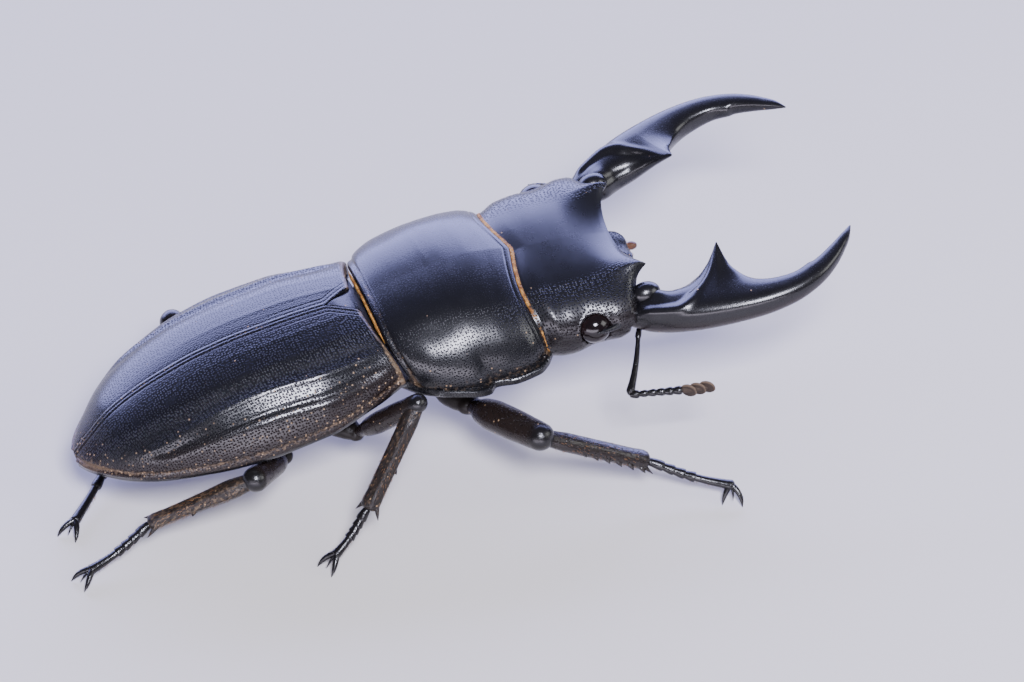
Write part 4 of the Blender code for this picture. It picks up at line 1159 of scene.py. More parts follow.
@dataclass(frozen=True)
class HeadCapsule:
    """The broad flat head with two frontal horns, hollow cheeks for the eyes and their ridges."""

    rear_x: float = 12.3
    front_x: float = 20.35
    half_width: Profile = Profile(
        (12.3, 13.4, 14.8, 16.2, 17.4, 18.5, 19.4, 19.95, 20.35),
        (8.1, 8.7, 8.75, 8.6, 8.8, 9.1, 9.0, 8.3, 6.7))
    crown_z: Profile = Profile(HEAD_X, (2.95, 3.12, 3.0, 2.80, 2.56, 2.29, 2.02, 1.74, 1.45))
    cheek_z: Profile = Profile((12.3, 14.8, 18.5, 20.35), (-1.0, -1.0, -0.75, -0.7))
    throat_z: Profile = Profile(HEAD_X, (-4.3, -4.3, -4.2, -4.0, -3.9, -3.7, -3.4, -2.9, -2.2))
    horn_tip: Triple = (22.3, 5.1, 2.0)
    horn_rise: float = 0.86
    cusp_round: float = 0.10
    bay_slope: float = 1.45
    flank_slope: float = 0.60
    front_middle_x: float = 20.65
    face_x: float = 19.75
    face_z: float = -0.9
    socket_room: float = 0.02
    tuck: float = -0.06
    columns: int = 260

    def front_edge(self, y: ArrayLike) -> Array:
        """Plan of the front edge: a shallow bay that runs out into a cusp at each horn.

        With r the distance across from the horn's tip, the edge falls back from the tip's reach
        by the factor exp(-r / slope), with a gentler slope on the bay's side.
        """
        tip_x, tip_y, _ = self.horn_tip
        away = np.abs(np.asarray(y, float)) - tip_y
        reach = np.sqrt(away**2 + self.cusp_round**2) - self.cusp_round
        slope = np.where(away < 0, self.bay_slope, self.flank_slope)
        return self.front_middle_x + (tip_x - self.front_middle_x) * np.exp(-reach / slope)

    def nape(self, y: ArrayLike) -> Array:
        """How far the rear edge follows the neck shield's front edge back."""
        s = np.abs(np.asarray(y, float)) / 8.9
        return -0.75 * np.sin(np.pi * np.clip(s, 0, 1) ** 1.1) - 0.15 * s

    def skin(self) -> Sheet:
        """The head: sections run out over the crown and back under the throat.

        The last rows draw the rim of the front edge back and in to a line, which makes the black
        upright face under the horns. Skin inside an eye's socket is pressed in.

        Returns:
            The closed head with its masks.
        """
        u = np.concatenate([np.linspace(self.tuck, 0.8, 170), np.linspace(0.8, 1, 90)[1:]])[:, None]
        ref = self.rear_x + (self.front_x - self.rear_x) * u
        turn = np.linspace(-np.pi / 2, np.pi / 2, self.columns)
        share = (0.55 * np.sin(turn) + 0.45 * np.linspace(-1, 1, self.columns))[None]
        half = self.half_width(ref)
        cheek = self.cheek_z(ref)
        y = share * half
        rear = self.nape(y) * (1 - u) ** 2
        push = smooth(0.62, 1.0, u) ** 1.2
        x = ref + rear + push * (self.front_edge(y) - self.front_x)
        z = cheek + (self.crown_z(ref) - cheek) * arch(share, 2.9, 2.5)
        tip_y = self.horn_tip[1]
        horn = bell(np.abs(y), tip_y, 2.4) * smooth(16.9, 22.4, x) ** 1.15
        z = z + horn * self.horn_rise - 0.14 * bell(y, 0, 2.6) * smooth(16.5, 20.5, x)
        x_low = ref + rear - 0.35 * push
        z_low = cheek - (cheek - self.throat_z(ref)) * arch(share, 2.9, 2.5)
        ring = np.concatenate([grid(x, y, z), grid(x_low, y, z_low)[:, ::-1]], 1)
        q = np.linspace(0, 1, 26)[1:, None]
        last = ring[-1]
        face = grid(last[:, 0] + (self.face_x - last[:, 0]) * np.sin(q * np.pi / 2) ** 1.1,
                    last[:, 1] * (1 - 0.05 * q),
                    last[:, 2] + (self.face_z - last[:, 2]) * q)
        points = self.hollowed(np.concatenate([ring, face]))
        wide = np.abs(points[..., 1])
        rows = len(u)
        pits = smooth(4.0, 6.4, wide + 0.5 * smooth(16, 20, points[..., 0]))
        pits[rows:] *= 0.3
        dust = 0.05 * smooth(5.5, 8.5, wide) + 0.25 * smooth(0.6, 0.0, points[..., 0] - self.rear_x)
        dust[rows:] = 0.05
        masks = {"pits": pits, "dust": dust, "brown": 0.25 * smooth(7.0, 8.8, wide)}
        return Sheet(points, masks, ends=Ends.STRIP, spine=self.columns // 2)

    def hollowed(self, points: Array) -> Array:
        """Presses the skin in under each eye and raises a fine rim round it.

        With d the distance to the eye's centre in eye radii, skin is pressed 1.3 mm inwards where
        d is under 1 and a little room, and lifted 0.05 mm in a ring just outside.
        """
        centre = np.array(EYE_CENTRE)
        away = (np.abs(points[..., 1]) - centre[1]) / EYE_RADII[1]
        d = np.sqrt(((points[..., 0] - centre[0]) / EYE_RADII[0]) ** 2 + away**2
                    + ((points[..., 2] - centre[2]) / EYE_RADII[2]) ** 2)
        room = 1 + self.socket_room
        pressed = 1.3 * smooth(room + 0.03, room - 0.12, d)
        lifted = 0.05 * bell(d, room + 0.12, 0.08)
        side = np.sign(points[..., 1]) * (np.abs(points[..., 1]) > 4)
        moved = points.copy()
        moved[..., 1] -= side * (pressed - lifted)
        moved[..., 2] += lifted * 0.5
        return moved

    def eye_ridge(self, side: str) -> Sheet:
        """The canthus: a thin ridge from the cheek across the eye's front, drawn to a point."""
        sign = SIDES[side]
        at = np.linspace(0, 1, 40)
        marks = (0.0, 0.4, 0.6, 0.8, 1.0)
        path = np.stack([
            Flow(marks, (19.3, 18.1, 17.5, 16.9, 16.3))(at),
            sign * Flow(marks, (8.25, 8.90, 9.15, 9.32, 9.42))(at),
            Flow(marks, (-0.25, -0.20, -0.05, 0.12, 0.28))(at)], -1)
        height = Profile((0.0, 0.3, 0.5, 0.75, 1.0), (0.70, 0.38, 0.25, 0.18, 0.05))(at)
        ridge = swept(path, height, height * 0.9, sides=16, up=(0, sign, 0.4))
        ridge.masks = even(pits=0.5, dust=0.12)
        return ridge

    def build(self) -> None:
        """Makes the head and the eyes."""
        sheets = [self.skin()] + [self.eye_ridge(side) for side in SIDES]
        Piece("head_capsule", sheets, HEAD_BLACK, ("head",), "cuticle", HEAD).build()
        for side, sign in SIDES.items():
            lens = bead(np.array(EYE_CENTRE) * (1, sign, 1), EYE_RADII, 60, 80)
            Piece("eye_lens_" + side, [lens], EYE, ("eye_" + side,), "eye", HEAD).build()


@dataclass(frozen=True)
class Mandibles:
    """The long curved jaws, each with a broad inner tooth and a small step near its tip."""

    root_x: float = 19.6
    tip_x: float = 39.7
    middle_y: Profile = Flow(JAW_X, (7.35, 7.75, 8.6, 9.40, 10.5, 11.30, 11.35, 10.55, 9.35, 8.40, 7.73))
    middle_z: Profile = Flow(JAW_X, (-1.0, -0.95, -0.8, -0.55, -0.3, -0.1, 0.15, 0.45, 0.75, 0.95, 1.06))
    half_width: Profile = Flow(
        JAW_SIZE_X, (0.95, 1.20, 1.45, 1.70, 2.10, 1.85, 1.42, 1.10, 0.86, 0.59, 0.33, 0.06))
    half_height: Profile = Flow(
        JAW_SIZE_X, (0.90, 1.20, 1.50, 1.66, 1.60, 1.40, 1.20, 0.98, 0.78, 0.54, 0.32, 0.06))
    tooth_reach: Profile = Profile(
        (23.3, 24.4, 25.3, 26.0, 26.5, 26.85, 27.0, 27.15, 27.6, 28.3, 29.2, 30.2, 31.5),
        (0.0, 0.12, 0.55, 1.25, 2.0, 2.60, 2.80, 2.60, 1.85, 1.02, 0.46, 0.15, 0.0))
    tooth_rise: float = 2.5
    tooth_sharpness: float = 5.0
    step_x: float = 35.4
    ball: Triple = (21.45, 6.95, 0.36)
    ball_radii: Triple = (1.30, 1.00, 0.98)
    crest_angle: Profile = Profile((19.6, 22.0, 23.5, 25.0, 26.2, 27.0), (125, 130, 128, 100, 55, 15))

    def jaw(self, side: str) -> Sheet:
        """One mandible as sections square to its middle line.

        A section is a soft box, cos and sin to the power 2 / 2.5. Its inner end is drawn out by
        the tooth's reach times ((1 + cos) / 2) to a power, raised in step, and thinned there.

        Args:
            side: right or left.

        Returns:
            The closed jaw with its masks.
        """
        stretches = ((self.root_x, 25.0, 90), (25.0, 28.6, 130), (28.6, 35.0, 90), (35.0, 36.6, 40),
                     (36.6, self.tip_x, 70))
        x = [np.linspace(first, last, n, endpoint=False) for first, last, n in stretches]
        x = np.concatenate([*x, [self.tip_x]])
        path = np.stack([x, self.middle_y(x), self.middle_z(x)], -1)
        along = unit(np.gradient(path, axis=0))
        inner = unit(np.cross(along, UP))
        rise = np.cross(inner, along)
        x = x[:, None]
        angle = around(132)[None]
        c, s = np.cos(angle), np.sin(angle)
        across = self.half_width(x) * np.sign(c) * np.abs(c) ** 0.8
        height = self.half_height(x) * np.sign(s) * np.abs(s) ** 0.8
        turn = np.where(angle > np.pi, angle - 2 * np.pi, angle)
        crest = np.radians(self.crest_angle(x))
        crest_on = smooth(20.6, 21.6, x) * smooth(27.2, 26.4, x)
        hollow = smooth(0.05, 0.5, turn) * smooth(-0.15, -0.55, turn - crest) * crest_on
        swell = 1 + 0.075 * bell(turn, crest, 0.24) * crest_on - 0.13 * hollow
        blade = 0.04 * bell(turn, 0.75, 0.34) * smooth(28.5, 31.0, x) * smooth(39.5, 37.5, x)
        side_groove = 0.05 * bell(turn, 2.85, 0.30) * smooth(22.0, 24.0, x) * smooth(35.0, 30.0, x)
        across = across * (swell + blade - side_groove)
        height = height * (swell + blade)
        reach = self.tooth_reach(x)
        share = reach / max(self.tooth_reach.values)
        drawn = ((1 + c) / 2) ** self.tooth_sharpness
        across = across + reach * drawn
        height = height * (1 - 0.55 * share * drawn) + self.tooth_rise * share**0.9 * drawn
        small = 0.20 * smooth(self.step_x - 1.6, self.step_x, x) * smooth(self.step_x + 0.5, self.step_x, x)
        across = across + small * ((1 + c) / 2) ** 5
        joint = bell(x, 21.8, 0.95)
        across = across + 0.36 * joint * ((1 + c) / 2) ** 4
        height = height + 0.48 * joint * bell(turn, 0.9, 0.75)
        points = path[:, None] + inner[:, None] * across[..., None] + rise[:, None] * height[..., None]
        points[..., 1] *= SIDES[side]
        top = smooth(-0.2, 0.5, s)
        pits = 0.35 + 0.5 * top * smooth(24.0, 26.5, x) * smooth(39, 35, x) - 0.3 * joint
        dust = 0.10 * smooth(0.2, -0.6, s) + 0.03 * (1 - joint)
        brown = smooth(0.25, -0.35, s) * smooth(0.3, -0.2, c)
        masks = {"pits": pits, "dust": dust, "brown": brown}
        return Sheet(points, masks)

    def build(self) -> None:
        """Makes both jaws, each with the glossy ball that it turns on at its inner upper corner."""
        for side, sign in SIDES.items():
            ball = bead(np.array(self.ball) * (1, sign, 1), self.ball_radii, 40, 48)
            sheets = [self.jaw(side), ball]
            Piece(f"mandible_{side}_jaw", sheets, JAW, ("mandible_" + side,), "mandible", HEAD).build()


@dataclass(frozen=True)
class MouthParts:
    """The lip plate between the jaws and the two jointed palps under it."""

    palp_radius: float = 0.30

    def lip(self) -> Sheet:
        """The labrum: a flat plate whose front edge has a shallow notch."""
        at = np.linspace(0, 1, 60)
        path = np.stack([20.0 + 2.3 * at, 0 * at, -0.86 - 0.28 * at], -1)
        width = Profile((0.0, 0.3, 0.7, 0.9, 1.0), (2.1, 2.4, 2.1, 1.5, 0.9))(at)
        height = Profile((0.0, 0.5, 0.9, 1.0), (0.42, 0.42, 0.30, 0.16))(at)
        lip = swept(path, width, height, sides=64, power=3.0)
        x, y = lip.points[..., 0], lip.points[..., 1]
        lip.points[..., 0] -= 0.45 * bell(y, 0, 0.7) * smooth(20.8, 22.2, x)
        lip.masks = even(pits=0.7, dust=0.2)
        return lip

    def palp(self, side: str) -> Sheet:
        """A chain of three segments, each swelling towards its end, drawn along a falling curve."""
        at = np.linspace(0, 1, 110)
        path = np.stack([19.6 + 4.0 * at, SIDES[side] * (2.6 + 0.8 * at), -3.3 - 1.6 * at**1.3], -1)
        phase = (at * 3) % 1.0
        radius = self.palp_radius * (0.62 + 0.55 * np.sin(np.pi * phase**1.6))
        radius = radius * smooth(1.0, 0.985, at) + 0.03
        return swept(path, radius, sides=20)

    def build(self) -> None:
        """Makes the lip and both palps."""
        Piece("labrum_plate", [self.lip()], HEAD_BLACK, ("labrum",), "cuticle", HEAD).build()
        for side in SIDES:
            Piece("palp_chain_" + side, [self.palp(side)], PALP, ("palp_" + side,), "palp", HEAD).build()


@dataclass(frozen=True)
class Feeler:
    """One elbowed feeler: long scape, beaded funicle and a club of plates."""

    side: str
    root: Triple
    elbow: Triple
    neck: Triple
    tip: Triple
    beads: int = 6
    plates: int = 3

    def scape(self) -> Sheet:
        """The long first joint, bowed a little and thickest near its end."""
        root, elbow = np.array(self.root), np.array(self.elbow)
        at = np.linspace(-0.2, 1, 90)
        bow = np.sin(np.pi * np.clip(at, 0, 1))[:, None] * (0.16, 0.0, 0.0)
        path = root + (elbow - root) * at[:, None] + bow
        radius = Profile((-0.2, 0.0, 0.06, 0.3, 0.8, 0.94, 1.0),
                         (0.2, 0.27, 0.20, 0.23, 0.32, 0.38, 0.16))(at)
        return swept(path, radius, sides=26)

    def funicle(self) -> list[Sheet]:
        """Small cups threaded on one line, each widest near its outer end."""
        elbow, neck = np.array(self.elbow), np.array(self.neck)
        marks = np.linspace(0.0, 1.0, self.beads + 1)
        at = np.linspace(0, 1, 26)
        cups = []
        for k in range(self.beads):
            a, b = (elbow + (neck - elbow) * mark for mark in (marks[k], marks[k + 1] + 0.03))
            size = 0.36 if k == 0 else 0.29 + 0.02 * k
            radius = size * Profile((0.0, 0.15, 0.7, 0.92, 1.0), (0.58, 0.74, 1.0, 0.85, 0.35))(at)
            cups.append(swept(a + (b - a) * at[:, None], radius, sides=22))
        return cups

    def club(self) -> list[Sheet]:
        """A short stalk that carries overlapping rounded plates, pale along their rims.

        With t from 0 to 1 across a plate, its width is that of an oval, sqrt(1 - |2 t - 1|^2.3).
        Each plate is centred on the stalk, square to a face that looks out and a little back.
        """
        neck, tip = np.array(self.neck), np.array(self.tip)
        way = unit(tip - neck)
        at = np.linspace(0, 1, 40)
        radius = Profile((0.0, 0.1, 0.8, 1.0), (0.16, 0.30, 0.30, 0.16))(at)
        stalk = swept(neck + (tip - 0.3 * way - neck) * at[:, None], radius, sides=26)
        stalk.masks = even(pale=0.1)
        made = [stalk]
        aside = unit(np.cross(way, DOWN))
        face = unit(aside * SIDES[self.side] * np.sign(aside[1]) - 0.42 * way)
        t = np.linspace(0, 1, 48)
        oval = np.sqrt(np.clip(1 - np.abs(2 * t - 1) ** 2.3, 0, 1))
        sides = 36
        across = oval[:, None] * np.cos(around(sides))[None]
        from_middle = np.sqrt(np.clip((2 * t - 1)[:, None] ** 2 + across**2, 0, 1))
        for k in range(self.plates):
            foot = neck + way * (0.55 + 0.80 * k) - DOWN * (0.58 + 0.05 * k)
            end = foot + DOWN * (1.52 - 0.04 * k) + way * 0.22
            plate = swept(foot + (end - foot) * t[:, None], 0.66 * oval + 0.02, 0.17 * oval + 0.02,
                          sides=sides, up=face)
            plate.masks = {"pale": smooth(0.80, 0.98, from_middle)}
            made.append(plate)
        return made

    def build(self) -> None:
        """Makes the three stretches of the feeler."""
        scape, cups = self.scape(), self.funicle()
        for sheet in [scape, *cups]:
            sheet.masks = even(pits=0.4, dust=0.08)
        stretches = (
            ("scape", "scape", [scape], LEG_BLACK, "feeler"),
            ("beads", "funicle", cups, LEG_BLACK, "feeler"),
            ("club", "club", self.club(), CLUB, "club"),
        )
        for name, node, sheets, finish, slot in stretches:
            nodes = (f"antenna_{node}_{self.side}",)
            Piece(f"feeler_{name}_{self.side}", sheets, finish, nodes, slot, HEAD).build()


@dataclass(frozen=True)
class Feelers:
    """The right feeler as the photograph shows it and the left one, tucked under the head."""

    right: Feeler = Feeler(
        "right", (19.85, -8.6, -2.65), (17.3, -13.2, -4.15), (21.5, -14.1, -4.65),
        (24.2, -14.6, -4.85))
    left: Feeler = Feeler(
        "left", (18.6, 7.6, -3.4), (15.4, 8.4, -8.2), (18.6, 9.6, -9.0), (20.9, 10.4, -9.3))

    def build(self) -> None:
        """Makes both feelers."""
        for feeler in (self.right, self.left):
            feeler.build()


@dataclass(frozen=True)
class Trunk:
    """Underside of the hind body: the thorax between the legs and the belly's plates."""

    cases: WingCases = WingCases()
    thorax_keel: Profile = Profile((-0.9, -2.5, -6.0, -10.0, -13.2), (-3.2, -4.0, -4.7, -4.8, -4.6))
    belly_keel: Profile = Profile(
        (-13.5, -16.0, -19.0, -22.0, -24.5, -26.3, -27.2), (-4.5, -4.45, -4.3, -4.1, -3.8, -3.5, -3.3))
    belly_share: Profile = Profile((-13.5, -22.0, -24.5, -26.3, -27.2), (1.0, 1.0, 0.97, 0.9, 0.8))
    seams: tuple[float, ...] = (-16.1, -18.7, -21.3, -23.9)
    gap: float = 0.3

    def inner_top(self, x: Array, y: Array) -> Array:
        """Height of the back under the wing cases, a wall and a gap below their outer face."""
        depth = self.cases.wall + self.gap + 0.2
        return self.cases.top(x, y) - depth * self.cases.steepness(x, y)

    def hull(self, x: Array, half: Array, keel: Array, flank: float, lower: float) -> Sheet:
        """Sections whose top is the inner top and whose flanks draw in to the keel.

        Args:
            x: places along the body.
            half: half widths there.
            keel: keel heights there.
            flank: power of the share across; the height under is keel + (rim - keel) |share|^flank.
            lower: how far the top is set down.

        Returns:
            The closed hull.
        """
        share = np.sin(np.linspace(-np.pi / 2, np.pi / 2, 90))[None]
        x, half, keel = x[:, None], half[:, None], keel[:, None]
        y = share * half
        over_z = self.inner_top(x, y) - lower
        rim = np.minimum(over_z[:, :1], over_z[:, -1:]) - 0.35
        under_z = np.minimum(keel + (rim - keel) * np.abs(share) ** flank, over_z - 0.3)
        points = np.concatenate([grid(x, y, over_z), grid(x, y, under_z)[:, ::-1]], 1)
        return Sheet(points, even(pits=0.6, dust=0.22), ends=Ends.STRIP)

    def build(self) -> None:
        """Makes the thorax, with its middle groove, and the belly, with a step at each plate."""
        x = np.linspace(-1.4, -13.2, 120)
        half = self.cases.half_width(x) * 0.86 - 0.35 + 0.55 * smooth(-3.4, -2.4, x)
        thorax = self.hull(x, half, self.thorax_keel(x), 1.3, 0.25)
        along, aside, height = np.moveaxis(thorax.points, -1, 0)
        groove = 0.22 * smooth(-2.5, -4.0, height) * bell(aside, 0, 0.28) * smooth(-4, -6, along)
        thorax.points[..., 2] += groove
        Piece("thorax_underside", [thorax], BELLY, ("thorax",), "belly").build()
        x = np.linspace(-13.5, -27.2, 260)
        half = (self.cases.half_width(x) * 0.86 - 0.35) * self.belly_share(x)
        steps = sum(0.20 * bell(x, place, 0.10) + 0.10 * smooth(place, place + 0.9, x)
                    for place in self.seams)
        keel = self.belly_keel(x) + steps - 0.10 * smooth(-13.5, -24, x)
        belly = self.hull(x, half, keel, 2.0, 0.0)
        Piece("abdomen_plates", [belly], BELLY, ("abdomen",), "belly").build()


THIGH_ROWS = 110
SHIN_DUST = {"fore": 0.05, "mid": 0.42, "hind": 0.54}
SHORT_CUP = Profile((0.0, 0.15, 0.4, 0.82, 0.95, 1.0), (0.64, 0.72, 0.82, 0.94, 0.90, 0.5))
LONG_CUP = Profile((0.0, 0.1, 0.25, 0.8, 0.93, 1.0), (0.62, 0.68, 0.70, 0.86, 0.92, 0.42))


@dataclass(frozen=True)
class Leg:
    """One leg from its hip to its claws, in the stance frame."""

    rank: str
    side: str
    coxa: Triple
    hip: Triple
    knee: Triple
    ankle: Triple
    toe: Triple
    claw: Triple
    thick: float
    knee_radius: float
    slim: float
    broad: float
    teeth: tuple[float, ...]
    toe_beads: int = 5
    toe_radius: float = 0.50

    def points(self) -> dict[str, Array]:
        """The joints as arrays, by name."""
        names = ("coxa", "hip", "knee", "ankle", "toe", "claw")
        return {name: np.array(getattr(self, name)) for name in names}

    @property
    def key(self) -> str:
        """The start of the frame's node names for this leg."""
        return f"{self.rank}_{self.side}"

    def capped(self, radius: Array, away: Array, length: float, ball: float) -> Array:
        """A bar's radii with a ball round its far end.

        Args:
            radius: the bar's own radii.
            away: how far from its near end they are.
            length: where the ball's centre lies.
            ball: the ball's radius.

        Returns:
            The radii, those past the centre taken from the ball.
        """
        past = (away - length) / ball
        return np.where(away > length, ball * np.sqrt(np.clip(1 - past**2, 0, 1)), radius)

    def hip_cone(self) -> Sheet:
        """The coxa: a plump cone from inside the body to the ball that the thigh turns on."""
        p = self.points()
        at = np.linspace(0, 1, 70)
        first = p["coxa"] - (p["hip"] - p["coxa"]) * 0.9
        ball = 0.72 * self.thick
        way, length = course(first, p["hip"])
        away = at * (length + ball)
        swell = Profile((0.0, 0.3, 0.6, 0.85, 1.0), (0.6, 1.15, 1.25, 1.0, 0.72))(away / length)
        radius = self.capped(swell * self.thick, away, length, ball)
        return swept(first + np.outer(away, way), radius + 0.01, radius * 0.8 + 0.01, sides=36)

    def thigh(self) -> Sheet:
        """The femur: a flattened club with a short neck, ending in the knee's ball."""
        p = self.points()
        way, length = course(p["hip"], p["knee"])
        ball = self.knee_radius
        away = np.linspace(0.35 * self.thick, length + ball, THIGH_ROWS)
        share = away / length
        radius = Profile(
            (0.0, 0.14, 0.22, 0.40, 0.62, 0.85, 1.0),
            (0.40 * self.thick, 0.62 * self.thick, 0.84 * self.thick, self.thick, 0.99 * self.thick,
             0.5 * (self.thick + ball), ball))(share)
        radius = self.capped(radius, away, length, ball)
        flat = 0.85 + 0.12 * smooth(0.8, 1.0, share)
        return swept(p["hip"] + np.outer(away, way), radius + 0.01, radius * flat + 0.01, sides=40,
                     shape=lambda t, a: 1 + 0.03 * bell(np.sin(a), -1, 0.25) * smooth(0.95, 0.7, t))

    def shin(self) -> list[Sheet]:
        """The tibia: ridged lengthwise, flared at its end, with outer teeth and two end spurs."""
        p = self.points()
        way, length = course(p["knee"], p["ankle"])
        cap = 0.45 * 1.1 * self.broad
        away = np.linspace(0.25 * self.knee_radius, length + cap, 130)
        share = away / length
        neck = (self.knee_radius + 0.55) / length
        middle = (self.slim + self.broad) / 2
        radius = Profile(
            (0.0, 0.55 * neck, neck, 1.35 * neck, 0.45, 0.85, 0.97, 1.0),
            (0.84 * self.slim, 0.94 * self.slim, 1.02 * self.slim, 1.08 * self.slim, middle * 1.05,
             self.broad * 1.02, 1.08 * self.broad, 1.00 * self.broad))(share)
        end = np.clip((away - length) / cap, 0, 1)
        radius = radius * np.sqrt(1 - 0.97 * end**2)
        ribbed = 0.045 if self.rank != "fore" else 0.012
        bar = swept(p["knee"] + np.outer(away, way), radius, radius * 0.88, sides=48,
                    shape=lambda t, a: (
                        1 + ribbed * np.cos(6 * a) * smooth(0.12, 0.3, t) * smooth(0.97, 0.9, t)))
        side = unit(np.cross(way, UP))
        outward = np.sign(self.coxa[1])
        side = side * (1 if side[1] * outward > 0 else -1)
        t = np.linspace(0, 1, 22)
        made = [bar]
        for k, at in enumerate(self.teeth):
            root = p["knee"] + way * length * at
            wide = self.slim + (self.broad - self.slim) * at
            reach = wide + 0.30 + 0.05 * k
            tip = root + (side * 0.86 + DOWN * 0.3 + way * 0.4) * reach
            bend = (root + tip) / 2 + side * 0.10 * reach
            curve = (1 - t)[:, None] ** 2 * root + (2 * t * (1 - t))[:, None] * bend
            curve = curve + t[:, None] ** 2 * tip
            size = Profile((0.0, 0.5, 1.0), (0.44, 0.32, 0.03))(t)
            made.append(swept(curve, size, size * 0.75, sides=16, up=DOWN + 0.01 * way))
        for lean in (-0.5, 0.5):
            root = p["ankle"] - way * 0.6 + side * lean * 0.7
            tip = p["ankle"] + way * 0.6 + side * lean * 2.4 + DOWN * 0.3
            size = Profile((0.0, 0.5, 1.0), (0.30, 0.20, 0.02))(t)
            made.append(swept(root + (tip - root) * t[:, None], size, sides=16))
        return made

    def toe_line(self, share: ArrayLike) -> Array:
        """Points along the foot's sagging line, at shares from the ankle's end to the toe."""
        p = self.points()
        way = unit(p["toe"] - p["ankle"])
        start = p["ankle"] + way * (0.62 * self.broad + 0.3)
        share = np.asarray(share, float)
        line = start + share[..., None] * (p["toe"] - start)
        line[..., 2] -= 0.35 * np.sin(np.pi * np.clip(share, 0, 1))
        return line

    def foot(self) -> list[Sheet]:
        """The tarsus: four short cups and a long one, each necked into the last, and two claws.

        Between the claws stands a thin straight bristle. Claws and bristle follow quadratic
        curves from the toe over an elbow to the tip.
        """
        p = self.points()
        marks = np.concatenate([np.linspace(0, 0.52, self.toe_beads), [1.0]])
        at = np.linspace(0, 1, 44)
        made = []
        for k in range(self.toe_beads):
            begin = marks[k] - (0.10 if k == 0 else 0.025)
            shares = begin + (marks[k + 1] - begin) * at
            cup = LONG_CUP if k == self.toe_beads - 1 else SHORT_CUP
            radius = cup(at) * self.toe_radius
            made.append(swept(self.toe_line(shares), radius, radius * 0.92, sides=26))
        flat = unit((p["claw"] - p["toe"]) * (1, 1, 0))
        side = np.array([-flat[1], flat[0], 0])
        s = np.linspace(0, 1, 50)[:, None]
        inside = unit(p["toe"] - p["ankle"]) * 0.35
        for sign, thick in ((-1, 1.0), (0, 0.45), (1, 1.0)):
            end = p["claw"] if sign else p["toe"] + (p["claw"] - p["toe"]) * 0.75
            tip = end + side * sign * 0.85 + (0, 0, 0.10)
            elbow = p["toe"] + (p["claw"] - p["toe"]) * 0.45 + side * sign * 0.75 + (0, 0, 0.35)
            hook = (1 - s) ** 2 * (p["toe"] - inside) + 2 * s * (1 - s) * elbow + s**2 * tip
            size = thick * Profile((0.0, 0.3, 0.7, 1.0), (0.28, 0.26, 0.18, 0.03))(s[:, 0])
            made.append(swept(hook, size, sides=20, up=(0.02, 0.01, 1)))
        for sheet in made:
            sheet.points[..., 2] = np.maximum(sheet.points[..., 2], FLOOR_Z)
        return made

    def build(self) -> None:
        """Makes hip, thigh, shin and foot."""
        knee = smooth(0.93, 0.80, np.linspace(0, 1, THIGH_ROWS))[:, None]
        thigh_masks = {"pits": 0.9 * knee, "dust": 0.22 * knee, "brown": 0.7 * knee}
        shin_masks = even(pits=0.8, dust=SHIN_DUST[self.rank], brown=0.5, wrinkles=1.0)
        shin_finish = SHIN if self.rank != "fore" else LEG_BLACK
        joints = (
            ("coxa", [self.hip_cone()], even(pits=0.25, dust=0.02), BELLY, "belly"),
            ("femur", [self.thigh()], thigh_masks, LEG_BLACK, "leg"),
            ("tibia", self.shin(), shin_masks, shin_finish, "leg"),
            ("tarsus", self.foot(), even(pits=0.0, dust=0.0), LEG_BLACK, "leg"),
        )
        for part, sheets, masks, finish, slot in joints:
            for sheet in sheets:
                sheet.masks = masks
            node = f"{self.key}_{part}"
            Piece(node + "_skin", sheets, finish, (node,), slot, STANCE).build()


LEG_SIZES: dict[str, tuple[float, ...]] = {
    "fore": (1.45, 1.22, 0.82, 0.84),
    "mid": (1.05, 0.84, 0.76, 0.78),
    "hind": (1.15, 1.10, 0.84, 0.68),
}
LEG_TEETH = {"fore": (0.38, 0.49, 0.60, 0.71, 0.82, 0.93), "mid": (0.58,), "hind": (0.58,)}
LEG_JOINTS: dict[tuple[str, str], tuple[Triple, ...]] = {
    ("fore", "right"): ((4.4, -4.2, -5.05), (4.9, -6.9, -5.1), (8.5, -14.8, -3.0),
                        (17.1, -16.6, -7.4), (23.7, -20.6, -9.2), (23.1, -21.6, FLOOR_Z)),
    ("fore", "left"): ((4.4, 4.2, -5.15), (4.9, 6.8, -5.4), (9.2, 13.2, -5.0),
                       (15.8, 12.4, -8.4), (22.0, 13.4, -9.6), (23.1, 13.7, FLOOR_Z)),
    ("mid", "right"): ((-6.3, -3.4, -5.9), (-4.8, -5.7, -6.1), (-0.5, -10.0, -0.15),
                       (-6.35, -13.7, -6.6), (-10.2, -15.4, -9.5), (-11.3, -15.9, FLOOR_Z)),
    ("mid", "left"): ((-6.3, 3.4, -5.75), (-4.8, 5.7, -6.1), (-1.0, 10.3, -3.5),
                      (-7.4, 12.0, -8.0), (-12.6, 13.6, -9.7), (-13.7, 14.0, FLOOR_Z)),
    ("hind", "right"): ((-11.6, -3.4, -6.3), (-11.2, -5.4, -6.7), (-14.75, -9.3, -4.4),
                        (-23.6, -7.8, -7.6), (-29.7, -9.3, -9.6), (-30.9, -9.8, FLOOR_Z)),
    ("hind", "left"): ((-11.6, 3.4, -6.3), (-11.2, 5.4, -6.7), (-15.8, 10.6, -3.6),
                       (-23.0, 3.3, -8.2), (-29.3, -3.3, -9.8), (-30.3, -4.3, FLOOR_Z)),
}


@dataclass(frozen=True)
class Legs:
    """All six legs, from the tables of their joints and of the sizes of each pair."""

    def all(self) -> list[Leg]:
        """The legs, front to rear, right before left."""
        return [Leg(rank, side, *joints, *LEG_SIZES[rank], LEG_TEETH[rank])
                for (rank, side), joints in LEG_JOINTS.items()]

    def build(self) -> None:
        """Makes every leg."""
        for leg in self.all():
            leg.build()


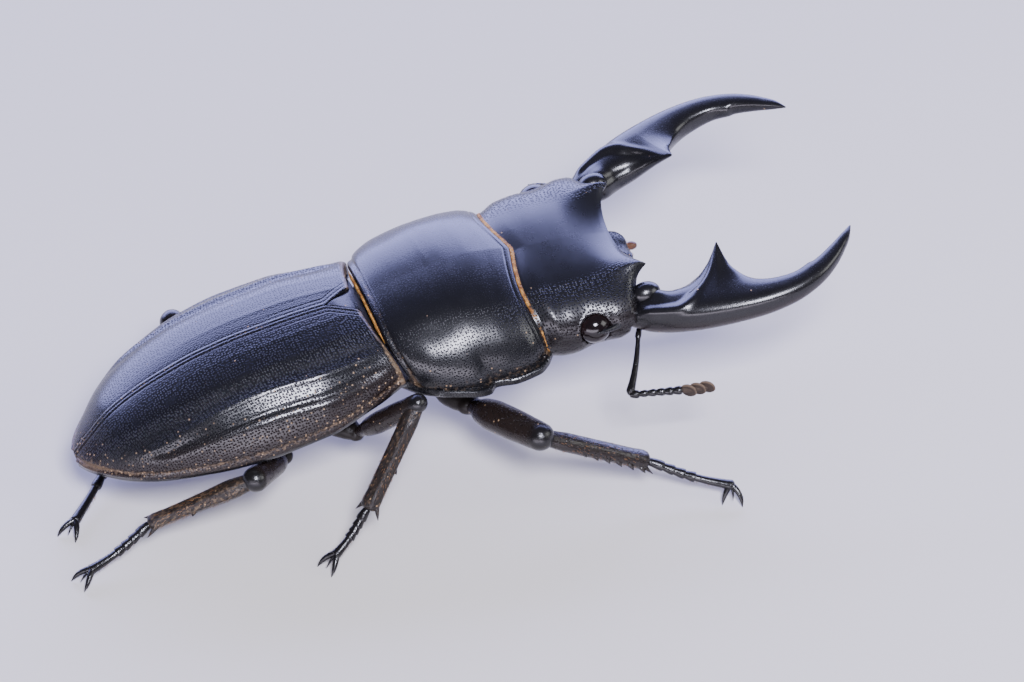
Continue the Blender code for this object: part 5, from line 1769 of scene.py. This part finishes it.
@dataclass(frozen=True)
class Fringes:
    """Golden hairs along the neck shield's edges, and rust ones on lip, shins and feet."""

    shield: NeckShield = NeckShield()
    legs: Legs = Legs()
    front_count: int = 2600
    rear_count: int = 3200
    lip_count: int = 180
    foot_count: int = 150
    shin_count: int = 260
    seed: int = 5

    def edge(self, rng: np.random.Generator, name: str, at: float, count: int, lean: float,
             sunk: float, reach: tuple[float, float], breadth: float) -> Hairs:
        """Hairs that grow out from under the neck shield's front or rear edge.

        Args:
            rng: random numbers.
            name: the piece's name.
            at: 0 for the rear edge and 1 for the front edge.
            count: how many hairs.
            lean: how far they lean down, as a share of their way out.
            sunk: millimetres from the shield's plain dome down to the highest roots.
            reach: the shortest and the longest hair.
            breadth: how far out from the middle they grow, as a share of the half width.

        Returns:
            The hairs.
        """
        share = rng.uniform(-breadth, breadth, count)
        outward = 1.0 if at > 0.5 else -1.0
        where = np.full(count, at)
        x = self.shield.edge_x(share, where) - outward * 0.06
        z = self.shield.dome(where, share) - sunk + 0.10 * smooth(0.55, 0.75, np.abs(share))
        z = z - rng.uniform(0.0, 0.16, count)
        roots = np.stack([x, share * self.shield.dome_half(where), z], -1)
        ways = np.stack([np.full(count, outward), rng.normal(0, 0.22, count),
                         rng.normal(lean, 0.10, count)], -1)
        shorter = 0.25 + 0.75 * smooth(breadth, breadth - 0.2, np.abs(share))
        lengths = rng.uniform(*reach, count) * shorter
        unwrap = np.stack([0.5 + 0.45 * share, 0.04 + 0.92 * where], -1)
        return Hairs(name, roots, ways, lengths, unwrap, GOLD_HAIR, ("pronotum",), "cuticle",
                     thickness=0.026)

    def lip(self, rng: np.random.Generator) -> Hairs:
        """Hairs along the lip's front edge."""
        count = self.lip_count
        across = rng.uniform(-1.0, 1.0, count)
        roots = grid(22.1 - 0.4 * bell(across, 0, 0.7) - 0.25 * across**2, across, -1.12)
        ways = grid(1.0, rng.normal(0, 0.2, count), rng.normal(-0.3, 0.12, count))
        lengths = rng.uniform(0.35, 0.60, count)
        unwrap = np.stack([0.5 + 0.4 * across, np.full(count, 0.9)], -1)
        return Hairs("lip_fringe", roots, ways, lengths, unwrap, RUST_HAIR, ("labrum",), "cuticle", HEAD)

    def of_leg(self, rng: np.random.Generator, leg: Leg) -> Hairs:
        """Brushes under a foot, and the shin's short bristles."""
        p = leg.points()
        share = rng.uniform(0.02, 0.9, self.foot_count)
        way = unit(p["toe"] - p["ankle"])
        side = unit(np.cross(way, UP))
        aside = rng.uniform(-1, 1, self.foot_count)
        roots = [leg.toe_line(share) + side * (aside * 0.28)[:, None] + DOWN * 0.16]
        ways = [way * 0.8 + side * (aside * 0.7)[:, None] + DOWN * 0.45]
        unwrap = [np.stack([0.06 + 0.88 * share, 0.2 + 0.1 * aside], -1)]
        along, length = course(p["knee"], p["ankle"])
        across = unit(np.cross(along, UP))
        rise = np.cross(across, along)
        share = rng.uniform(0.15, 0.95, self.shin_count)
        angle = rng.uniform(0, 2 * np.pi, self.shin_count)
        outward = across * np.cos(angle)[:, None] + rise * np.sin(angle)[:, None] * 0.88
        radius = leg.slim + (leg.broad - leg.slim) * share
        roots.append(p["knee"] + along * (share * length)[:, None] + outward * (radius * 0.97)[:, None])
        ways.append(along + outward * 0.55 + rng.normal(0, 0.1, outward.shape))
        unwrap.append(np.stack([0.06 + 0.88 * share, 0.5 + 0.45 * angle / (2 * np.pi)], -1))
        roots, ways, unwrap = np.concatenate(roots), np.concatenate(ways), np.concatenate(unwrap)
        lengths = rng.uniform(0.22, 0.42, len(roots))
        return Hairs(f"leg_hair_{leg.key}", roots, ways, lengths, unwrap, RUST_HAIR,
                     (f"{leg.key}_tarsus",), "leg", STANCE, thickness=0.016)

    def build(self) -> None:
        """Grows every fringe from one seed."""
        rng = np.random.default_rng(self.seed)
        self.edge(rng, "front_fringe", 1.0, self.front_count, lean=0.02, sunk=0.10,
                  reach=(0.22, 0.36), breadth=0.97).build()
        self.edge(rng, "rear_fringe", 0.0, self.rear_count, lean=-0.30, sunk=0.45,
                  reach=(0.12, 0.26), breadth=0.62).build()
        self.lip(rng).build()
        for leg in self.legs.all():
            self.of_leg(rng, leg).build()


@dataclass(frozen=True)
class Lamp:
    """A soft rectangular light, its place and size in metres and its power in watts."""

    name: str
    place: Triple
    size: tuple[float, float]
    watts: float
    tint: Triple = (1.0, 1.0, 1.0)
    target: Triple = (0, 0, 0.01)

    def build(self) -> None:
        """Hangs the light so that it faces the beetle."""
        data = bpy.data.lights.new(self.name, "AREA")
        data.shape = "RECTANGLE"
        data.size, data.size_y = self.size
        data.energy = self.watts
        data.color = self.tint
        back = unit(np.asarray(self.place, float) - self.target)
        right = unit(np.cross(UP, back))
        linked(self.name, data, (right, np.cross(back, right), back), self.place)


@dataclass(frozen=True)
class Studio:
    """Camera at the photograph's angle, pale floor and soft lights.

    The camera angles are read in the torso frame, in degrees: azimuth and elevation of the
    direction back to the camera, and its roll about that direction. The aim is in millimetres of
    the same frame. A small key makes the sharp glints, a wide cool light behind stands for the
    sky that the back mirrors, and a low one in front lights the flank.
    """

    aim: Triple = (9.90, -3.49, -3.77)
    azimuth: float = -13.31
    elevation: float = 45.80
    roll: float = -10.22
    distance: float = 350.0
    pixels_per_mm: float = 11.73
    image_width: int = 1024
    sensor_mm: float = 36.0
    floor_half: float = 3.0
    sky: Colour = rgb(0.86, 0.84, 1.0)
    sky_strength: float = 0.13
    lamps: tuple[Lamp, ...] = (
        Lamp("key", (-0.02, -0.30, 0.42), (0.14, 0.14), 6.3, (0.84, 0.84, 1.0)),
        Lamp("far_sky", (0.12, 0.54, 0.215), (1.45, 0.43), 23.0, (0.44, 0.46, 1.0)),
        Lamp("near_low", (-0.34, -0.56, 0.10), (1.0, 0.2), 4.6, (0.90, 0.84, 1.0)),
        Lamp("fill", (0.45, -0.25, 0.30), (0.3, 0.3), 1.3),
    )

    def axes(self) -> tuple[Array, Array, Array]:
        """The camera's right, up and back directions in the torso frame."""
        a, e, roll = np.radians((self.azimuth, self.elevation, self.roll))
        back = np.array([np.sin(a) * np.cos(e), -np.cos(a) * np.cos(e), np.sin(e)])
        level = np.array([np.cos(a), np.sin(a), 0.0])
        over = np.cross(back, level)
        right = level * np.cos(roll) + over * np.sin(roll)
        return right, np.cross(back, right), back

    def camera(self) -> None:
        """Sets the camera so that a millimetre at the aim spans the photograph's pixels."""
        data = bpy.data.cameras.new("camera")
        data.sensor_width = self.sensor_mm
        data.lens = self.pixels_per_mm * self.distance * self.sensor_mm / self.image_width
        data.clip_start, data.clip_end = 0.01, 20.0
        right, up, back = (TORSO.turn(axis) for axis in self.axes())
        eye = TORSO.place(np.array(self.aim)) + back * self.distance * MM
        bpy.context.scene.camera = linked("camera", data, (right, up, back), eye)

    def floor(self) -> None:
        """Lays the pale square floor that the beetle stands on."""
        half = self.floor_half
        corners = [(-half, -half, 0), (half, -half, 0), (half, half, 0), (-half, half, 0)]
        mesh = mesh_from("floor", np.array(corners, float), np.array([[0, 1, 2, 3]]),
                         np.zeros((0, 3), int))
        mesh.materials.append(FLOOR.material())
        floor = linked("floor", mesh)

    def world(self) -> None:
        """Fills the air with a faint even light."""
        world = bpy.data.worlds.new("studio")
        bpy.context.scene.world = world
        world.use_nodes = True
        background = world.node_tree.nodes["Background"]
        background.inputs["Color"].default_value = self.sky
        background.inputs["Strength"].default_value = self.sky_strength

    def build(self) -> None:
        """Camera, floor, sky and lights."""
        self.camera()
        self.floor()
        self.world()
        for lamp in self.lamps:
            lamp.build()


def main() -> None:
    """Builds the sub-assemblies in order and reports each."""
    logging.basicConfig(level=logging.INFO, format="%(message)s")
    parts = (Studio(), WingCases(), NeckShield(), HeadCapsule(), Mandibles(), MouthParts(),
             Feelers(), Trunk(), Legs(), Fringes())
    for part in parts:
        part.build()
        LOG.info("built %s", type(part).__name__)
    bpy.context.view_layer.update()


if __name__ == "__main__":
    main()
